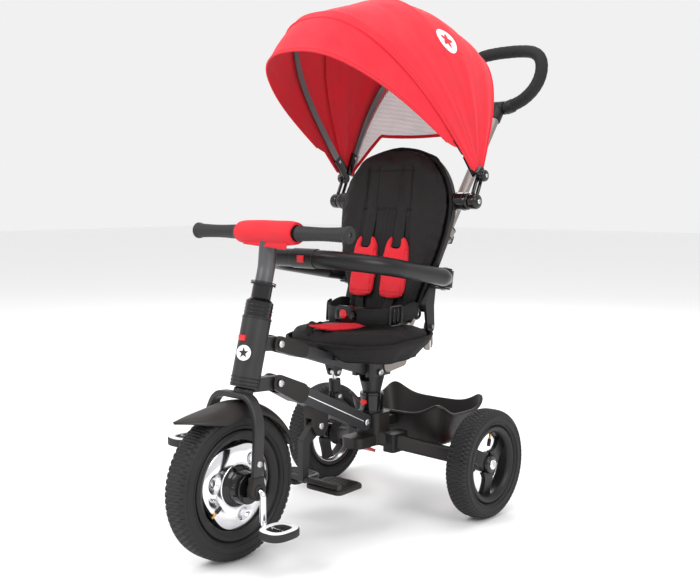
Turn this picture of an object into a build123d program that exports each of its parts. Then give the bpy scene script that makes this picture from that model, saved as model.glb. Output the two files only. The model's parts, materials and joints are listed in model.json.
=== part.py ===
"""Children's tricycle with a swing-open guardrail, canopy, push handle and folding frame.

Millimetres. +Z is up, -Y is the direction of travel and +X is the rider's left. Everything is drawn
with the rear axle above Y = 0 and the ground at Z = 0, and moved at the end so that the origin is the
middle of the footprint. Each node is one STEP file in parts/.
"""

import os
from math import atan2, cos, degrees, hypot, radians, sin

from build123d import *

# ---- driving dimensions -------------------------------------------------------------------------
RUN_CLEAR = 0.05        # radial clearance of a shaft in its bore
GAP = 0.4               # clearance between bodies that pass each other

WHEELBASE = 460.0
REAR_TRACK = 402.0      # between the middles of the rear tyres
FRONT_WHEEL_R = 127.0
FRONT_RIM_R = 92.0
FRONT_TYRE_W = 50.0
REAR_WHEEL_R = 103.0
REAR_RIM_R = 72.5
REAR_TYRE_W = 46.0

RAKE = 15.3             # lean of the steering axis, degrees
AXIS_TRAIL = 12.0       # the steering axis passes this far in front of the front axle
HEAD_R = 24.5
HEAD_START = 164.0      # along the steering axis, from the height of the front axle
HEAD_LEN = 120.0
COLUMN_R = 14.0
COLUMN_OVER = 22.0       # the column stands this far above the head
BUSH_WALL = 1.5
BUSH_LEN = 16.0

CRANK_R = 5.5           # radius of the bent crank rod
CRANK_LEN = 58.0
CRANK_X = 75.0          # middle of the crank arm
CRANK_BEND = 9.0
PEDAL_X = 54.0
PEDAL_Y = 66.0
PEDAL_Z = 14.0

FORK_X = 60.0           # middle of a fork blade
FORK_TOP = 277.0
BLADE_T = 10.0
BLADE_W = 21.0
FORK_LEAN = 3.8
FENDER_R = 142.0
FENDER_T = 3.0
FENDER_W = 70.0
FENDER_LIP = 16.0
FENDER_REAR, FENDER_FRONT = 18.0, 100.0      # ends of its arc, degrees up from level behind
FENDER_NOSE = 97.0       # straight run in front of the arc
CROWN_R = 17.0
CROWN_LEN = 18.0

STEM_R = 15.0
BAR_Y, BAR_Z = -368.0, 543.0
BAR_R = 9.5
BAR_HALF = 181.0
GRIP_LEN = 110.0
GRIP_R = 12.0
GRIP_FLARE_R = 14.5
COVER_HALF = 66.0
COVER_R = 18.0

HEAD_UPPER = (-356.0, 352.0)    # (y, z) of the four pivots of the folding frame
HEAD_LOWER = (-358.0, 284.0)
REAR_UPPER = (-100.0, 270.0)
REAR_LOWER = (-126.0, 175.0)
OPEN_PIVOT_CLEAR = 2.2          # the linkage is opened here, at the upper head pivot
PIN_R = 4.0
LUG_HALF = 9.0
LUG_R = 12.0
SLEEVE_HALF = 14.0
SLEEVE_R = 14.5
SLEEVE_LEN = 60.0
UPPER_TUBE_R = 10.5
UPPER_TUBE_HALF = 11.0
LOWER_TUBE_R = 15.5
LOWER_TUBE_HALF = 14.0
TUBE_WALL = 2.0
TONGUE_HALF = 9.8

STRUT_TOP = (-202.0, 282.0)
STRUT_BOTTOM = (-199.0, 236.5)
STRUT_ROD_R = 5.0
STRUT_SLEEVE_R = 11.0
STRUT_CLEAR = 2.0
STRUT_EYE_R = 6.0
STRUT_PIN_R = 3.0
STRUT_EYE_HALF = 6.0

FOOTREST_PIVOT = (-252.0, 190.0)
FOOTREST_R = 19.0
FOOT_BAR_TOP = (-284.0, 166.0)
FOOT_BAR_END = (-287.0, 97.0)
FOOT_PLATE_X, FOOT_PLATE_Y, FOOT_PLATE_T = 84.0, 75.0, 9.0

POST_Y = -93.0
POST_R = 14.0
COLLAR_R = 22.5
COLLAR_LOW, COLLAR_HIGH = 190.0, 228.0
NECK_TOP = 264.0
SEAT_BASE_HALF = 26.0
SEAT_BOTTOM = 308.0
SEAT_HALF = 131.0
SEAT_FRONT, SEAT_BACK = -243.0, -20.0
SEAT_SHELL_H = 25.0
SEAT_CUSHION_H = 24.0
CUSHION_BACK = -68.0

RECLINE_PIVOT = (-38.0, 358.0)
BACK_LOW = (-58.0, 364.0)
BACK_HIGH = (2.0, 698.0)
BACK_WIDE = 134.0
BACK_FOOT = 60.0
BACK_SHELL_T = 11.0
BACK_CUSHION_T = 26.0

RING_R = 16.0
RING_FRONT_Y = -294.0
RING_FRONT_Z = 496.5
RING_SLOPE = 0.1746
RING_HALF = 144.0
RING_CORNER = 108.0
RING_PIVOT = (122.0, -25.0)
RING_PIN_R = 5.0
CATCH_LOW, CATCH_HIGH = -10.0, 44.0
CATCH_R = 17.5

CANOPY_PIVOT = (22.0, 643.0)
CANOPY_FOOT = (-1.0, 595.0)
CANOPY_ARM_X = 165.0
CANOPY_ARM_T = 5.0
FRONT_COVER_W = 169.0
REAR_COVER_W = 163.5
FRONT_COVER = ((23.0, 351.0), (40.0, 388.0), (58.0, 397.0))     # (lean forward, height) of its arches
REAR_COVER = ((-25.0, 292.0), (-2.0, 320.0), (22.0, 343.0))
COVER_T = 4.0
COVER_POWER = 2.5
ARCH_LOW = 16.0          # the covers stop this far above the pivot line
RIB_T, RIB_W = 3.0, 14.0
RIB_EYE_R = 11.0
FRONT_RIB_LEAN, REAR_RIB_LEAN = 45.0, -21.0

ROD_LOW = (-38.0, 272.0)
ROD_LEAN = 36.3
ROD_R = 13.0
ROD_WALL = 2.0
ROD_OUTER_LEN = 330.0
ROD_INNER_FROM = 190.0
HANDLE_REACH = 655.0     # from the foot of the rod to the handle's pivot
HANDLE_LEAN = 13.0
HANDLE_HALF = 98.0
HANDLE_H = 126.0
HANDLE_FOAM_R = 13.0
CLAMP_R = 15.0
CLAMP_HALF = 15.0

BASKET_X, BASKET_Y = 252.0, 170.0
BASKET_BACK = 132.0
BASKET_LOW, BASKET_HIGH = 122.0, 205.0
BASKET_TAPER = 26.0
BASKET_WALL = 3.0

ARM_H, ARM_W = 28.0, 22.0
HOUSING_X = 150.0
HOUSING_T = 22.0
AXLE_R = 6.0
BRAKE_PIVOT = (6.0, 84.0)
BRAKE_X = 108.0
BRAKE_LEN = 54.0
BRAKE_UP_LEFT = 34.0     # rest angle of each brake pedal above level
BRAKE_UP_RIGHT = -24.0

FRONT_AXLE_Y = -WHEELBASE
AXIS_FOOT_Y = FRONT_AXLE_Y - AXIS_TRAIL
NODES = {}


# ---- helpers ------------------------------------------------------------------------------------
def steer_point(along):
    """The point of the steering axis this far along it."""
    return (0, AXIS_FOOT_Y + along * sin(radians(RAKE)), FRONT_WHEEL_R + along * cos(radians(RAKE)))


def steer_plane(along):
    """A plane across the steering axis."""
    lean = radians(RAKE)
    return Plane(origin=steer_point(along), x_dir=(1, 0, 0), z_dir=(0, sin(lean), cos(lean)))


def steer_cylinder(low, high, radius, top=None):
    """A cylinder or cone on the steering axis."""
    plane = steer_plane((low + high) / 2)
    return plane * (Cylinder(radius, high - low) if top is None else Cone(radius, top, high - low))


def rod_x(x_low, x_high, point, radius):
    """A cylinder along X about the (y, z) point."""
    middle = ((x_low + x_high) / 2, point[0], point[1])
    return Plane(origin=middle, z_dir=(1, 0, 0)) * Cylinder(radius, x_high - x_low)


def both_sides(shape):
    return [shape, mirror(shape, about=Plane.YZ)]


def link(p, q, p_radius, q_radius, x_low, x_high):
    """A plate along X with the outline of two circles and their tangents, in the YZ plane."""
    circles = Pos(*p) * Circle(p_radius) + Pos(*q) * Circle(q_radius)
    outline = make_hull(circles.edges())
    return Pos(x_low, 0, 0) * extrude(Plane.YZ * outline, x_high - x_low)


def box(x, y, z):
    """A box from its three (low, high) pairs."""
    size = [pair[1] - pair[0] for pair in (x, y, z)]
    return Pos(*[(pair[0] + pair[1]) / 2 for pair in (x, y, z)]) * Box(*size)


def swept(points, radii, section_radius):
    """A round bar along straight runs joined by tangent arcs."""
    path = FilletPolyline(*points, radius=radii)
    return sweep(Plane(origin=path @ 0, z_dir=path % 0) * Circle(section_radius), path)


def along(p, q, distance):
    """The (y, z) point this far from p towards q."""
    whole = hypot(q[0] - p[0], q[1] - p[1])
    return (p[0] + (q[0] - p[0]) * distance / whole, p[1] + (q[1] - p[1]) * distance / whole)


def wheel_at(profile, centre):
    """A body of revolution about X from an (x, radius) sketch, moved to the wheel's centre."""
    return Pos(*centre) * revolve(profile, Axis.X, 360)


def tyre_profile(radius, rim_radius, width):
    height = radius - rim_radius
    outline = Pos(0, rim_radius + height / 2) * Rectangle(width, height)
    outer = outline.vertices().group_by(Axis.Y)[-1]
    outline = fillet(outer, width * 0.34)
    inner = outline.vertices().group_by(Axis.Y)[0]
    return chamfer(inner, width * 0.10)


# ---- front wheel, crank and pedals --------------------------------------------------------------
def front_wheel():
    centre = (0, FRONT_AXLE_Y, FRONT_WHEEL_R)
    hub_r, rim_half = 34.0, FRONT_TYRE_W * 0.40
    NODES["front_tyre"] = wheel_at(tyre_profile(FRONT_WHEEL_R, FRONT_RIM_R, FRONT_TYRE_W), centre)
    barrel = Pos(0, FRONT_RIM_R - 3) * Rectangle(2 * rim_half, 6)
    sleeve = Pos(0, hub_r + 2) * Rectangle(22, 4)
    dish = make_face(Polyline((rim_half - 1, FRONT_RIM_R - 5), (10, hub_r + 1), (6.5, hub_r + 1),
                              (rim_half - 5, FRONT_RIM_R - 5), close=True))
    rim = barrel + sleeve + dish + mirror(dish, about=Plane.YZ)
    NODES["front_rim"] = wheel_at(rim, centre)
    flange = Pos(0, hub_r / 2) * Rectangle(26, hub_r)
    neck = Pos(0, 10.5) * Rectangle(96, 21)
    hub = wheel_at(flange + neck, centre)
    NODES["front_hub"] = hub - rod_x(-60, 60, (FRONT_AXLE_Y, FRONT_WHEEL_R), CRANK_R + RUN_CLEAR)


def crank_and_pedals():
    y, z = FRONT_AXLE_Y, FRONT_WHEEL_R
    end = CRANK_X + CRANK_BEND + PEDAL_X - 2
    points = [(-end, y, z + CRANK_LEN), (-CRANK_X, y, z + CRANK_LEN), (-CRANK_X, y, z),
              (CRANK_X, y, z), (CRANK_X, y, z - CRANK_LEN), (end, y, z - CRANK_LEN)]
    NODES["crank"] = swept(points, CRANK_BEND, CRANK_R)
    for name, side, height in (("pedal_left", 1, z - CRANK_LEN), ("pedal_right", -1, z + CRANK_LEN)):
        middle = side * (CRANK_X + CRANK_BEND + 0.6 + PEDAL_X / 2)
        outline = RectangleRounded(PEDAL_X, PEDAL_Y, PEDAL_X * 0.42)
        body = extrude(outline, PEDAL_Z / 2, both=True)
        body = fillet(body.edges().group_by(Axis.Z)[-1] + body.edges().group_by(Axis.Z)[0], 2.5)
        bore = Pos(-side * 2, 0, 0) * (Rot(0, 90, 0) * Cylinder(CRANK_R + RUN_CLEAR, PEDAL_X - 1))
        NODES[name] = Pos(middle, y, height) * (body - bore)


# ---- steering -----------------------------------------------------------------------------------
def fork():
    foot = (0, FRONT_AXLE_Y, FRONT_WHEEL_R)
    low = -FRONT_WHEEL_R * 0.08
    rise = FORK_TOP - FRONT_WHEEL_R
    points = [(-FORK_X, 0, low), (-FORK_X, 0, rise - 34), (-FORK_X * 0.56, 0, rise),
              (FORK_X * 0.56, 0, rise), (FORK_X, 0, rise - 34), (FORK_X, 0, low)]
    path = FilletPolyline(*points, radius=[26, 16, 16, 26])
    section = Plane(origin=path @ 0, x_dir=(0, 1, 0), z_dir=path % 0)
    blades = sweep(section * RectangleRounded(BLADE_W, BLADE_T, 3.5), path)
    blades = Pos(*foot) * (Rot(-FORK_LEAN, 0, 0) * blades)
    crown = steer_cylinder(HEAD_START - CROWN_LEN, HEAD_START - GAP, CROWN_R)
    column = steer_cylinder(HEAD_START - CROWN_LEN, HEAD_START + HEAD_LEN + COLUMN_OVER, COLUMN_R)
    tyre_room = rod_x(-FRONT_TYRE_W / 2 - 3, FRONT_TYRE_W / 2 + 3, (FRONT_AXLE_Y, FRONT_WHEEL_R),
                      FRONT_WHEEL_R + 5)
    body = blades + crown + column - tyre_room
    bore = rod_x(-80, 80, (FRONT_AXLE_Y, FRONT_WHEEL_R), CRANK_R + RUN_CLEAR)
    NODES["fork"] = body - bore
    cap_x = FORK_X - BLADE_T / 2 - 1.5
    cap = box((cap_x, FORK_X + BLADE_T / 2 + 1), (FRONT_AXLE_Y - 13, FRONT_AXLE_Y + 13),
              (FRONT_WHEEL_R - 15, FRONT_WHEEL_R + 22))
    cap = fillet(cap.edges().filter_by(Axis.X), 7) - bore - NODES["fork"]
    NODES["fork_caps"] = Compound(both_sides(cap))


def fender():
    half = FENDER_W / 2
    top = Pos(0, FENDER_R - FENDER_T / 2) * Rectangle(FENDER_W, FENDER_T)
    lip = Pos(half - FENDER_T / 2, FENDER_R - FENDER_LIP / 2) * Rectangle(FENDER_T, FENDER_LIP)
    band = top + lip + mirror(lip, about=Plane.YZ)
    arch = Rot(FENDER_REAR, 0, 0) * revolve(band, Axis.X, FENDER_FRONT - FENDER_REAR)
    nose = Rot(FENDER_FRONT, 0, 0) * extrude(band, FENDER_NOSE)
    NODES["fender"] = Pos(0, FRONT_AXLE_Y, FRONT_WHEEL_R) * (arch + nose) - NODES["fork"]


def handlebar():
    top_of_head = HEAD_START + HEAD_LEN
    lower = steer_cylinder(top_of_head + GAP, top_of_head + 26, 23.5)
    middle = steer_cylinder(top_of_head + 26, top_of_head + 32, 23.5, 17)
    upper = steer_cylinder(top_of_head + 32, top_of_head + 54, 17)
    flange = steer_cylinder(top_of_head + 54, top_of_head + 58, 21.5)
    column_room = steer_cylinder(top_of_head - 5, top_of_head + COLUMN_OVER, COLUMN_R)
    stem_start = top_of_head + COLUMN_OVER
    stem_room = steer_cylinder(stem_start, top_of_head + 70, STEM_R)
    NODES["stem_collar"] = lower + middle + upper + flange - column_room - stem_room
    knee = steer_point(top_of_head + 86)
    foot = steer_point(stem_start)
    stem = swept([foot, knee, (0, BAR_Y, BAR_Z)], 60, STEM_R)
    bar = rod_x(-BAR_HALF, BAR_HALF, (BAR_Y, BAR_Z), BAR_R)
    NODES["handlebar"] = stem + bar
    grip = rod_x(BAR_HALF - GRIP_LEN, BAR_HALF + 2, (BAR_Y, BAR_Z), GRIP_R)
    grip += rod_x(BAR_HALF - 6, BAR_HALF + 2, (BAR_Y, BAR_Z), GRIP_FLARE_R)
    grip += rod_x(BAR_HALF - GRIP_LEN, BAR_HALF - GRIP_LEN + 6, (BAR_Y, BAR_Z), GRIP_FLARE_R)
    grip -= rod_x(0, BAR_HALF, (BAR_Y, BAR_Z), BAR_R)
    NODES["grips"] = Compound(both_sides(grip))
    cover = rod_x(-COVER_HALF, COVER_HALF, (BAR_Y, BAR_Z), COVER_R)
    NODES["bar_cover"] = cover - NODES["handlebar"]


# ---- head and folding frame ---------------------------------------------------------------------
def head():
    end = HEAD_START + HEAD_LEN
    bush_r = COLUMN_R + RUN_CLEAR + BUSH_WALL
    casting = steer_cylinder(HEAD_START, end, HEAD_R)
    for pivot in (HEAD_UPPER, HEAD_LOWER):
        near = steer_point((pivot[1] - FRONT_WHEEL_R) / cos(radians(RAKE)))
        casting += link((near[1] + 6, pivot[1] + 4), pivot, LUG_R, LUG_R, -LUG_HALF, LUG_HALF)
    casting -= steer_cylinder(HEAD_START - 2 * CROWN_LEN, HEAD_START, CROWN_R + 2)
    casting -= steer_cylinder(HEAD_START - 1, end + 1, bush_r)
    casting -= rod_x(-20, 20, HEAD_UPPER, PIN_R + OPEN_PIVOT_CLEAR)
    casting -= rod_x(-20, 20, HEAD_LOWER, PIN_R + RUN_CLEAR)
    button_point = steer_point(HEAD_START + 88)
    pocket = head_button_body(button_point, 0.25)
    NODES["head_casting"] = casting - pocket
    NODES["head_button"] = head_button_body(button_point, 0)
    bushes = []
    for low in (HEAD_START, end - BUSH_LEN):
        bushes.append(steer_cylinder(low, low + BUSH_LEN, bush_r)
                      - steer_cylinder(low - 1, low + BUSH_LEN + 1, COLUMN_R + RUN_CLEAR))
    NODES["head_bushes"] = Compound(bushes)


def head_button_body(point, extra):
    """The release button on the front of the head, or its pocket when extra is a clearance."""
    outside = point[1] - HEAD_R - 4
    # the pocket is deeper than the button by its travel
    depth = 8.0 + (3.5 if extra else 0)
    return box((-7 - extra, 7 + extra), (outside, outside + depth),
               (point[2] - 4.5 - extra, point[2] + 4.5 + extra))


def tube_with_sleeve(front, rear, radius, half, sleeve_r):
    """One frame tube, hollow between its two ends, and the forked sleeve on its front end."""
    start = along(front, rear, SLEEVE_LEN - 16)
    sleeve_end = along(front, rear, SLEEVE_LEN)
    tube = link(start, rear, radius, radius, -half, half)
    span = hypot(rear[0] - start[0], rear[1] - start[1])
    core = link(along(start, rear, 4), along(start, rear, span - 26), radius - TUBE_WALL,
                radius - TUBE_WALL, -half + TUBE_WALL, half - TUBE_WALL)
    tube -= core
    sleeve = link(front, sleeve_end, sleeve_r, radius + 2.5, -SLEEVE_HALF - 1, SLEEVE_HALF + 1)
    slot = link(front, along(front, rear, 6), sleeve_r + 3, sleeve_r + 3,
                -LUG_HALF - GAP, LUG_HALF + GAP)
    pin = rod_x(-SLEEVE_HALF - 3, SLEEVE_HALF + 3, front, PIN_R)
    tube_room = link(start, rear, radius, radius, -half, half)
    return tube, sleeve - slot + pin - tube_room


def strut_bracket(pivot, tube_front, tube_rear, radius, side):
    """A forked bracket between a tube and one end of the strut. side is 1 above the strut."""
    slope = (tube_rear[1] - tube_front[1]) / (tube_rear[0] - tube_front[0])
    at_tube = (pivot[0], tube_front[1] + slope * (pivot[0] - tube_front[0]))
    body = link(pivot, at_tube, 8, 15, -STRUT_EYE_HALF - 5, STRUT_EYE_HALF + 5)
    body -= link(tube_front, tube_rear, radius, radius, -40, 40)
    slot = box((-STRUT_EYE_HALF - GAP, STRUT_EYE_HALF + GAP), (pivot[0] - 40, pivot[0] + 40),
               sorted((pivot[1] - side * 40, pivot[1] + side * (STRUT_EYE_R + 1.5))))
    pin = rod_x(-STRUT_EYE_HALF - 5, STRUT_EYE_HALF + 5, pivot, STRUT_PIN_R)
    body = body - slot + pin
    beyond = box((-40, 40), (pivot[0] - 60, pivot[0] + 60),
                 sorted((at_tube[1], at_tube[1] + side * 60)))
    return body - beyond


def folding_frame():
    tube, sleeve = tube_with_sleeve(HEAD_UPPER, REAR_UPPER, UPPER_TUBE_R, UPPER_TUBE_HALF, SLEEVE_R - 1)
    NODES["upper_tube"] = tube - rod_x(-20, 20, REAR_UPPER, PIN_R + RUN_CLEAR)
    bracket = strut_bracket(STRUT_TOP, HEAD_UPPER, REAR_UPPER, UPPER_TUBE_R, 1)
    NODES["upper_fittings"] = Compound([sleeve, bracket])
    tube, sleeve = tube_with_sleeve(HEAD_LOWER, REAR_LOWER, LOWER_TUBE_R, LOWER_TUBE_HALF, SLEEVE_R)
    tongue_room = link(along(REAR_LOWER, HEAD_LOWER, 8), REAR_LOWER, LOWER_TUBE_R + 2,
                       LOWER_TUBE_R + 2, -TONGUE_HALF - GAP, TONGUE_HALF + GAP)
    tube = tube - tongue_room - rod_x(-20, 20, REAR_LOWER, PIN_R + RUN_CLEAR)
    NODES["lower_tube"] = tube
    bracket = strut_bracket(STRUT_BOTTOM, HEAD_LOWER, REAR_LOWER, LOWER_TUBE_R, -1)
    NODES["lower_fittings"] = Compound([sleeve, bracket, footrest_mount()])
    strut()


def strut():
    lean = atan2(STRUT_TOP[0] - STRUT_BOTTOM[0], STRUT_TOP[1] - STRUT_BOTTOM[1])
    length = hypot(STRUT_TOP[0] - STRUT_BOTTOM[0], STRUT_TOP[1] - STRUT_BOTTOM[1])
    plane = Plane(origin=(0, STRUT_BOTTOM[0], STRUT_BOTTOM[1]), x_dir=(1, 0, 0),
                  z_dir=(0, sin(lean), cos(lean)))
    eye = 2 * STRUT_EYE_HALF
    rod_low, sleeve_high = length * 0.35, length - STRUT_EYE_R - 8
    rod = plane * Pos(0, 0, (rod_low + length) / 2) * Cylinder(STRUT_ROD_R, length - rod_low)
    rod += rod_x(-eye / 2, eye / 2, STRUT_TOP, STRUT_EYE_R)
    NODES["strut_rod"] = rod - rod_x(-eye, eye, STRUT_TOP, STRUT_PIN_R + RUN_CLEAR)
    sleeve_low = STRUT_EYE_R + 3.5
    sleeve = plane * Pos(0, 0, (sleeve_low + sleeve_high) / 2) * Cylinder(
        STRUT_SLEEVE_R, sleeve_high - sleeve_low)
    sleeve += plane * Pos(0, 0, sleeve_low / 2) * Cylinder(STRUT_EYE_HALF, sleeve_low + 8)
    sleeve += rod_x(-eye / 2, eye / 2, STRUT_BOTTOM, STRUT_EYE_R)
    bore_low = sleeve_low + 2
    sleeve -= plane * Pos(0, 0, (bore_low + length) / 2) * Cylinder(
        STRUT_ROD_R + STRUT_CLEAR, length - bore_low)
    NODES["strut_sleeve"] = sleeve - rod_x(-eye, eye, STRUT_BOTTOM, STRUT_PIN_R + RUN_CLEAR)


# ---- footrest -----------------------------------------------------------------------------------
def footrest_mount():
    slope = (REAR_LOWER[1] - HEAD_LOWER[1]) / (REAR_LOWER[0] - HEAD_LOWER[0])
    at_tube = (FOOTREST_PIVOT[0], HEAD_LOWER[1] + slope * (FOOTREST_PIVOT[0] - HEAD_LOWER[0]))
    body = link(FOOTREST_PIVOT, at_tube, FOOTREST_R, FOOTREST_R, -13, 13)
    body -= link(HEAD_LOWER, REAR_LOWER, LOWER_TUBE_R, LOWER_TUBE_R, -40, 40)
    body -= box((-40, 40), (FOOTREST_PIVOT[0] - 60, FOOTREST_PIVOT[0] + 60),
                (at_tube[1], at_tube[1] + 60))
    slot = box((-6.5 - GAP, 6.5 + GAP), (FOOTREST_PIVOT[0] - 40, FOOTREST_PIVOT[0] + 40),
               (FOOTREST_PIVOT[1] - 40, FOOTREST_PIVOT[1] + 15))
    return body - slot + rod_x(-13, 13, FOOTREST_PIVOT, PIN_R)


def footrest():
    arm = link(FOOTREST_PIVOT, FOOT_BAR_TOP, 14, 9, -6.5, 6.5)
    arm += link(FOOT_BAR_TOP, FOOT_BAR_END, 9, 7, -6.5, 6.5)
    arm += rod_x(-FOOT_PLATE_X - 4, FOOT_PLATE_X + 4, FOOT_BAR_END, 6)
    arm -= rod_x(-20, 20, FOOTREST_PIVOT, PIN_R + RUN_CLEAR)
    NODES["footrest_arm"] = arm
    front = FOOT_BAR_END[0] - 8
    plate = box((10, 10 + FOOT_PLATE_X), (front, front + FOOT_PLATE_Y),
                (FOOT_BAR_END[1] - 13, FOOT_BAR_END[1] - 13 + FOOT_PLATE_T))
    plate = fillet(plate.edges().filter_by(Axis.Z), 16)
    NODES["foot_plates"] = Compound(both_sides(plate - arm))


# ---- rear frame ---------------------------------------------------------------------------------
def rear_frame():
    body = box((-28, 28), (-112, -64), (128, COLLAR_LOW))
    body = fillet(body.edges().filter_by(Axis.Z), 12)
    shelf = box((-24, 24), (-160, -90), (128, 148))
    shelf = fillet(shelf.edges().filter_by(Axis.Z), 14)
    tongue = link(REAR_LOWER, (-100, REAR_LOWER[1] - 6), 12, 14, -TONGUE_HALF, TONGUE_HALF)
    tube_room = link(REAR_LOWER, along(REAR_LOWER, HEAD_LOWER, 60), LOWER_TUBE_R + 1.2,
                     LOWER_TUBE_R + 1.2, -LOWER_TUBE_HALF - 1, LOWER_TUBE_HALF + 1)
    folded = Pos(0, *REAR_LOWER) * Rot(40, 0, 0) * Pos(0, -REAR_LOWER[0], -REAR_LOWER[1]) * tube_room
    cheeks = box((-40, -TONGUE_HALF), (-200, 0), (100, 220)) + box((TONGUE_HALF, 40), (-200, 0), (100, 220))
    body = body + shelf - ((tube_room + folded) & cheeks) + tongue
    body -= rod_x(-40, 40, REAR_LOWER, PIN_R)
    post_room = Pos(0, POST_Y, 180) * Cylinder(POST_R, 80)
    NODES["hub_casting"] = body - post_room
    arms, housings = [], []
    foot, wheel = Vector(20, -98, 142), Vector(HOUSING_X + 6, -4, REAR_WHEEL_R + 3)
    direction = wheel - foot
    plane = Plane(origin=foot, x_dir=direction.cross(Vector(0, 0, 1)), z_dir=direction)
    arm = extrude(plane * RectangleRounded(ARM_W, ARM_H, 7), direction.length)
    axle = (0, REAR_WHEEL_R)
    housing = rod_x(HOUSING_X, HOUSING_X + HOUSING_T, axle, 25)
    housing -= rod_x(0, 400, axle, AXLE_R)
    arm = arm - housing - NODES["hub_casting"] - rod_x(100, 300, axle, 25.2)
    NODES["rear_arms"] = Compound(both_sides(arm.solids().sort_by(SortBy.VOLUME)[-1]))
    NODES["brake_housings"] = Compound(both_sides(housing + rod_x(
        HOUSING_X - 14, HOUSING_X + 2, BRAKE_PIVOT, PIN_R)))
    stub = rod_x(HOUSING_X + 3, REAR_TRACK / 2 + 14, axle, AXLE_R)
    stub_left, stub_right = both_sides(stub)
    pins = [rod_x(-SEAT_BASE_HALF - 2, SEAT_BASE_HALF + 2, REAR_UPPER, PIN_R),
            rod_x(-LOWER_TUBE_HALF - 2, LOWER_TUBE_HALF + 2, REAR_LOWER, PIN_R)]
    NODES["steel_pins"] = Compound([stub_left, stub_right, *pins])


def seat_post():
    collar = Pos(0, POST_Y, (COLLAR_LOW + COLLAR_HIGH) / 2) * Cylinder(
        COLLAR_R, COLLAR_HIGH - COLLAR_LOW)
    collar -= Pos(0, POST_Y, (COLLAR_LOW + COLLAR_HIGH) / 2) * Cylinder(POST_R, 60)
    middle = 211.0
    front = POST_Y - COLLAR_R
    button = Plane(origin=(0, front - 1.5, middle), z_dir=(0, 1, 0)) * Cylinder(6, 6)
    pocket = Plane(origin=(0, front, middle), z_dir=(0, 1, 0)) * Cylinder(6.25, 15)
    NODES["post_collar"] = collar - pocket
    NODES["post_button"] = button
    post = Pos(0, POST_Y, (150 + COLLAR_HIGH) / 2) * Cylinder(POST_R, COLLAR_HIGH - 150)
    post -= pocket
    cone = Pos(0, POST_Y, (COLLAR_HIGH + NECK_TOP) / 2) * Cone(17, 26, NECK_TOP - COLLAR_HIGH)
    base = box((-SEAT_BASE_HALF, SEAT_BASE_HALF), (-126, -62), (NECK_TOP - 2, SEAT_BOTTOM))
    base = fillet(base.edges().filter_by(Axis.Z), 8)
    tube_room = link(REAR_UPPER, along(REAR_UPPER, HEAD_UPPER, 60), UPPER_TUBE_R + 1.5,
                     UPPER_TUBE_R + 1.5, -UPPER_TUBE_HALF - GAP, UPPER_TUBE_HALF + GAP)
    folded = Pos(0, *REAR_UPPER) * Rot(40, 0, 0) * Pos(0, -REAR_UPPER[0], -REAR_UPPER[1]) * tube_room
    between = Pos(0, *REAR_UPPER) * Rot(20, 0, 0) * Pos(0, -REAR_UPPER[0], -REAR_UPPER[1]) * tube_room
    neck = post + cone + base - tube_room - folded - between
    NODES["seat_neck"] = neck - rod_x(-40, 40, REAR_UPPER, PIN_R)


# ---- seat ---------------------------------------------------------------------------------------
def seat():
    middle = (SEAT_FRONT + SEAT_BACK) / 2
    plan = RectangleRounded(2 * SEAT_HALF, SEAT_BACK - SEAT_FRONT, 70)
    shell = Pos(0, middle, SEAT_BOTTOM) * extrude(plan, SEAT_SHELL_H)
    shell = fillet(shell.edges().group_by(Axis.Z)[0], 11)
    inner = offset(plan, -4)
    shell -= Pos(0, middle, SEAT_BOTTOM + 4) * extrude(inner, SEAT_SHELL_H)
    front = along(REAR_UPPER, HEAD_UPPER, 200)
    channel = link(REAR_UPPER, front, UPPER_TUBE_R + 6, UPPER_TUBE_R + 6, -19, 19)
    room = link(REAR_UPPER, front, UPPER_TUBE_R + 2, UPPER_TUBE_R + 2, -15, 15)
    floor = box((-40, 40), (SEAT_FRONT + 3, -130), (SEAT_BOTTOM, SEAT_BOTTOM + SEAT_SHELL_H - 1))
    shell = shell + (channel & floor) - room - rod_piece(0, ROD_OUTER_LEN / 2, ROD_R + 2)
    NODES["seat_shell"] = shell
    cushion_middle = (SEAT_FRONT + CUSHION_BACK) / 2
    top = RectangleRounded(2 * SEAT_HALF - 2, CUSHION_BACK - SEAT_FRONT, 62)
    cushion = Pos(0, cushion_middle, SEAT_BOTTOM + SEAT_SHELL_H) * extrude(top, SEAT_CUSHION_H)
    NODES["seat_cushion"] = fillet(cushion.edges().group_by(Axis.Z)[-1], 9)
    pad = box((-38, 38), (-232, -150), (0, 9))
    pad = fillet(pad.edges().filter_by(Axis.Z), 16)
    NODES["crotch_pad"] = Pos(0, 0, SEAT_BOTTOM + SEAT_SHELL_H + SEAT_CUSHION_H) * pad
    side = link((-76, 280), (-30, 284), 13, 11, SEAT_BASE_HALF, SEAT_BASE_HALF + 2.5)
    side += box((SEAT_BASE_HALF, SEAT_BASE_HALF + 2.5), (-86, -24), (284, SEAT_BOTTOM))
    ear = link(RECLINE_PIVOT, (RECLINE_PIVOT[0], SEAT_BOTTOM + 18), 12, 14, 92, 95)
    ear += rod_x(92, 106, RECLINE_PIVOT, PIN_R)
    NODES["seat_brackets"] = Compound(both_sides(side) + both_sides(ear - shell))


def back_plane():
    lean = atan2(BACK_HIGH[0] - BACK_LOW[0], BACK_HIGH[1] - BACK_LOW[1])
    return Plane(origin=(0, *BACK_LOW), x_dir=(1, 0, 0), z_dir=(0, -cos(lean), sin(lean)))


def back_outline(inset):
    """Half-pear outline of the backrest, standing on its foot."""
    height = hypot(BACK_HIGH[0] - BACK_LOW[0], BACK_HIGH[1] - BACK_LOW[1]) - inset
    wide, foot = BACK_WIDE - inset, BACK_FOOT - inset
    right = ThreePointArc((foot, 0), (wide * 0.80, height * 0.30), (wide, height * 0.60))
    top = ThreePointArc((wide, height * 0.60), (wide * 0.72, height * 0.90), (0, height))
    half = [right, top]
    other = [mirror(edge, about=Plane.YZ) for edge in half]
    base = Line((-foot, 0), (foot, 0))
    return make_face([base, *half, *other])


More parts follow.
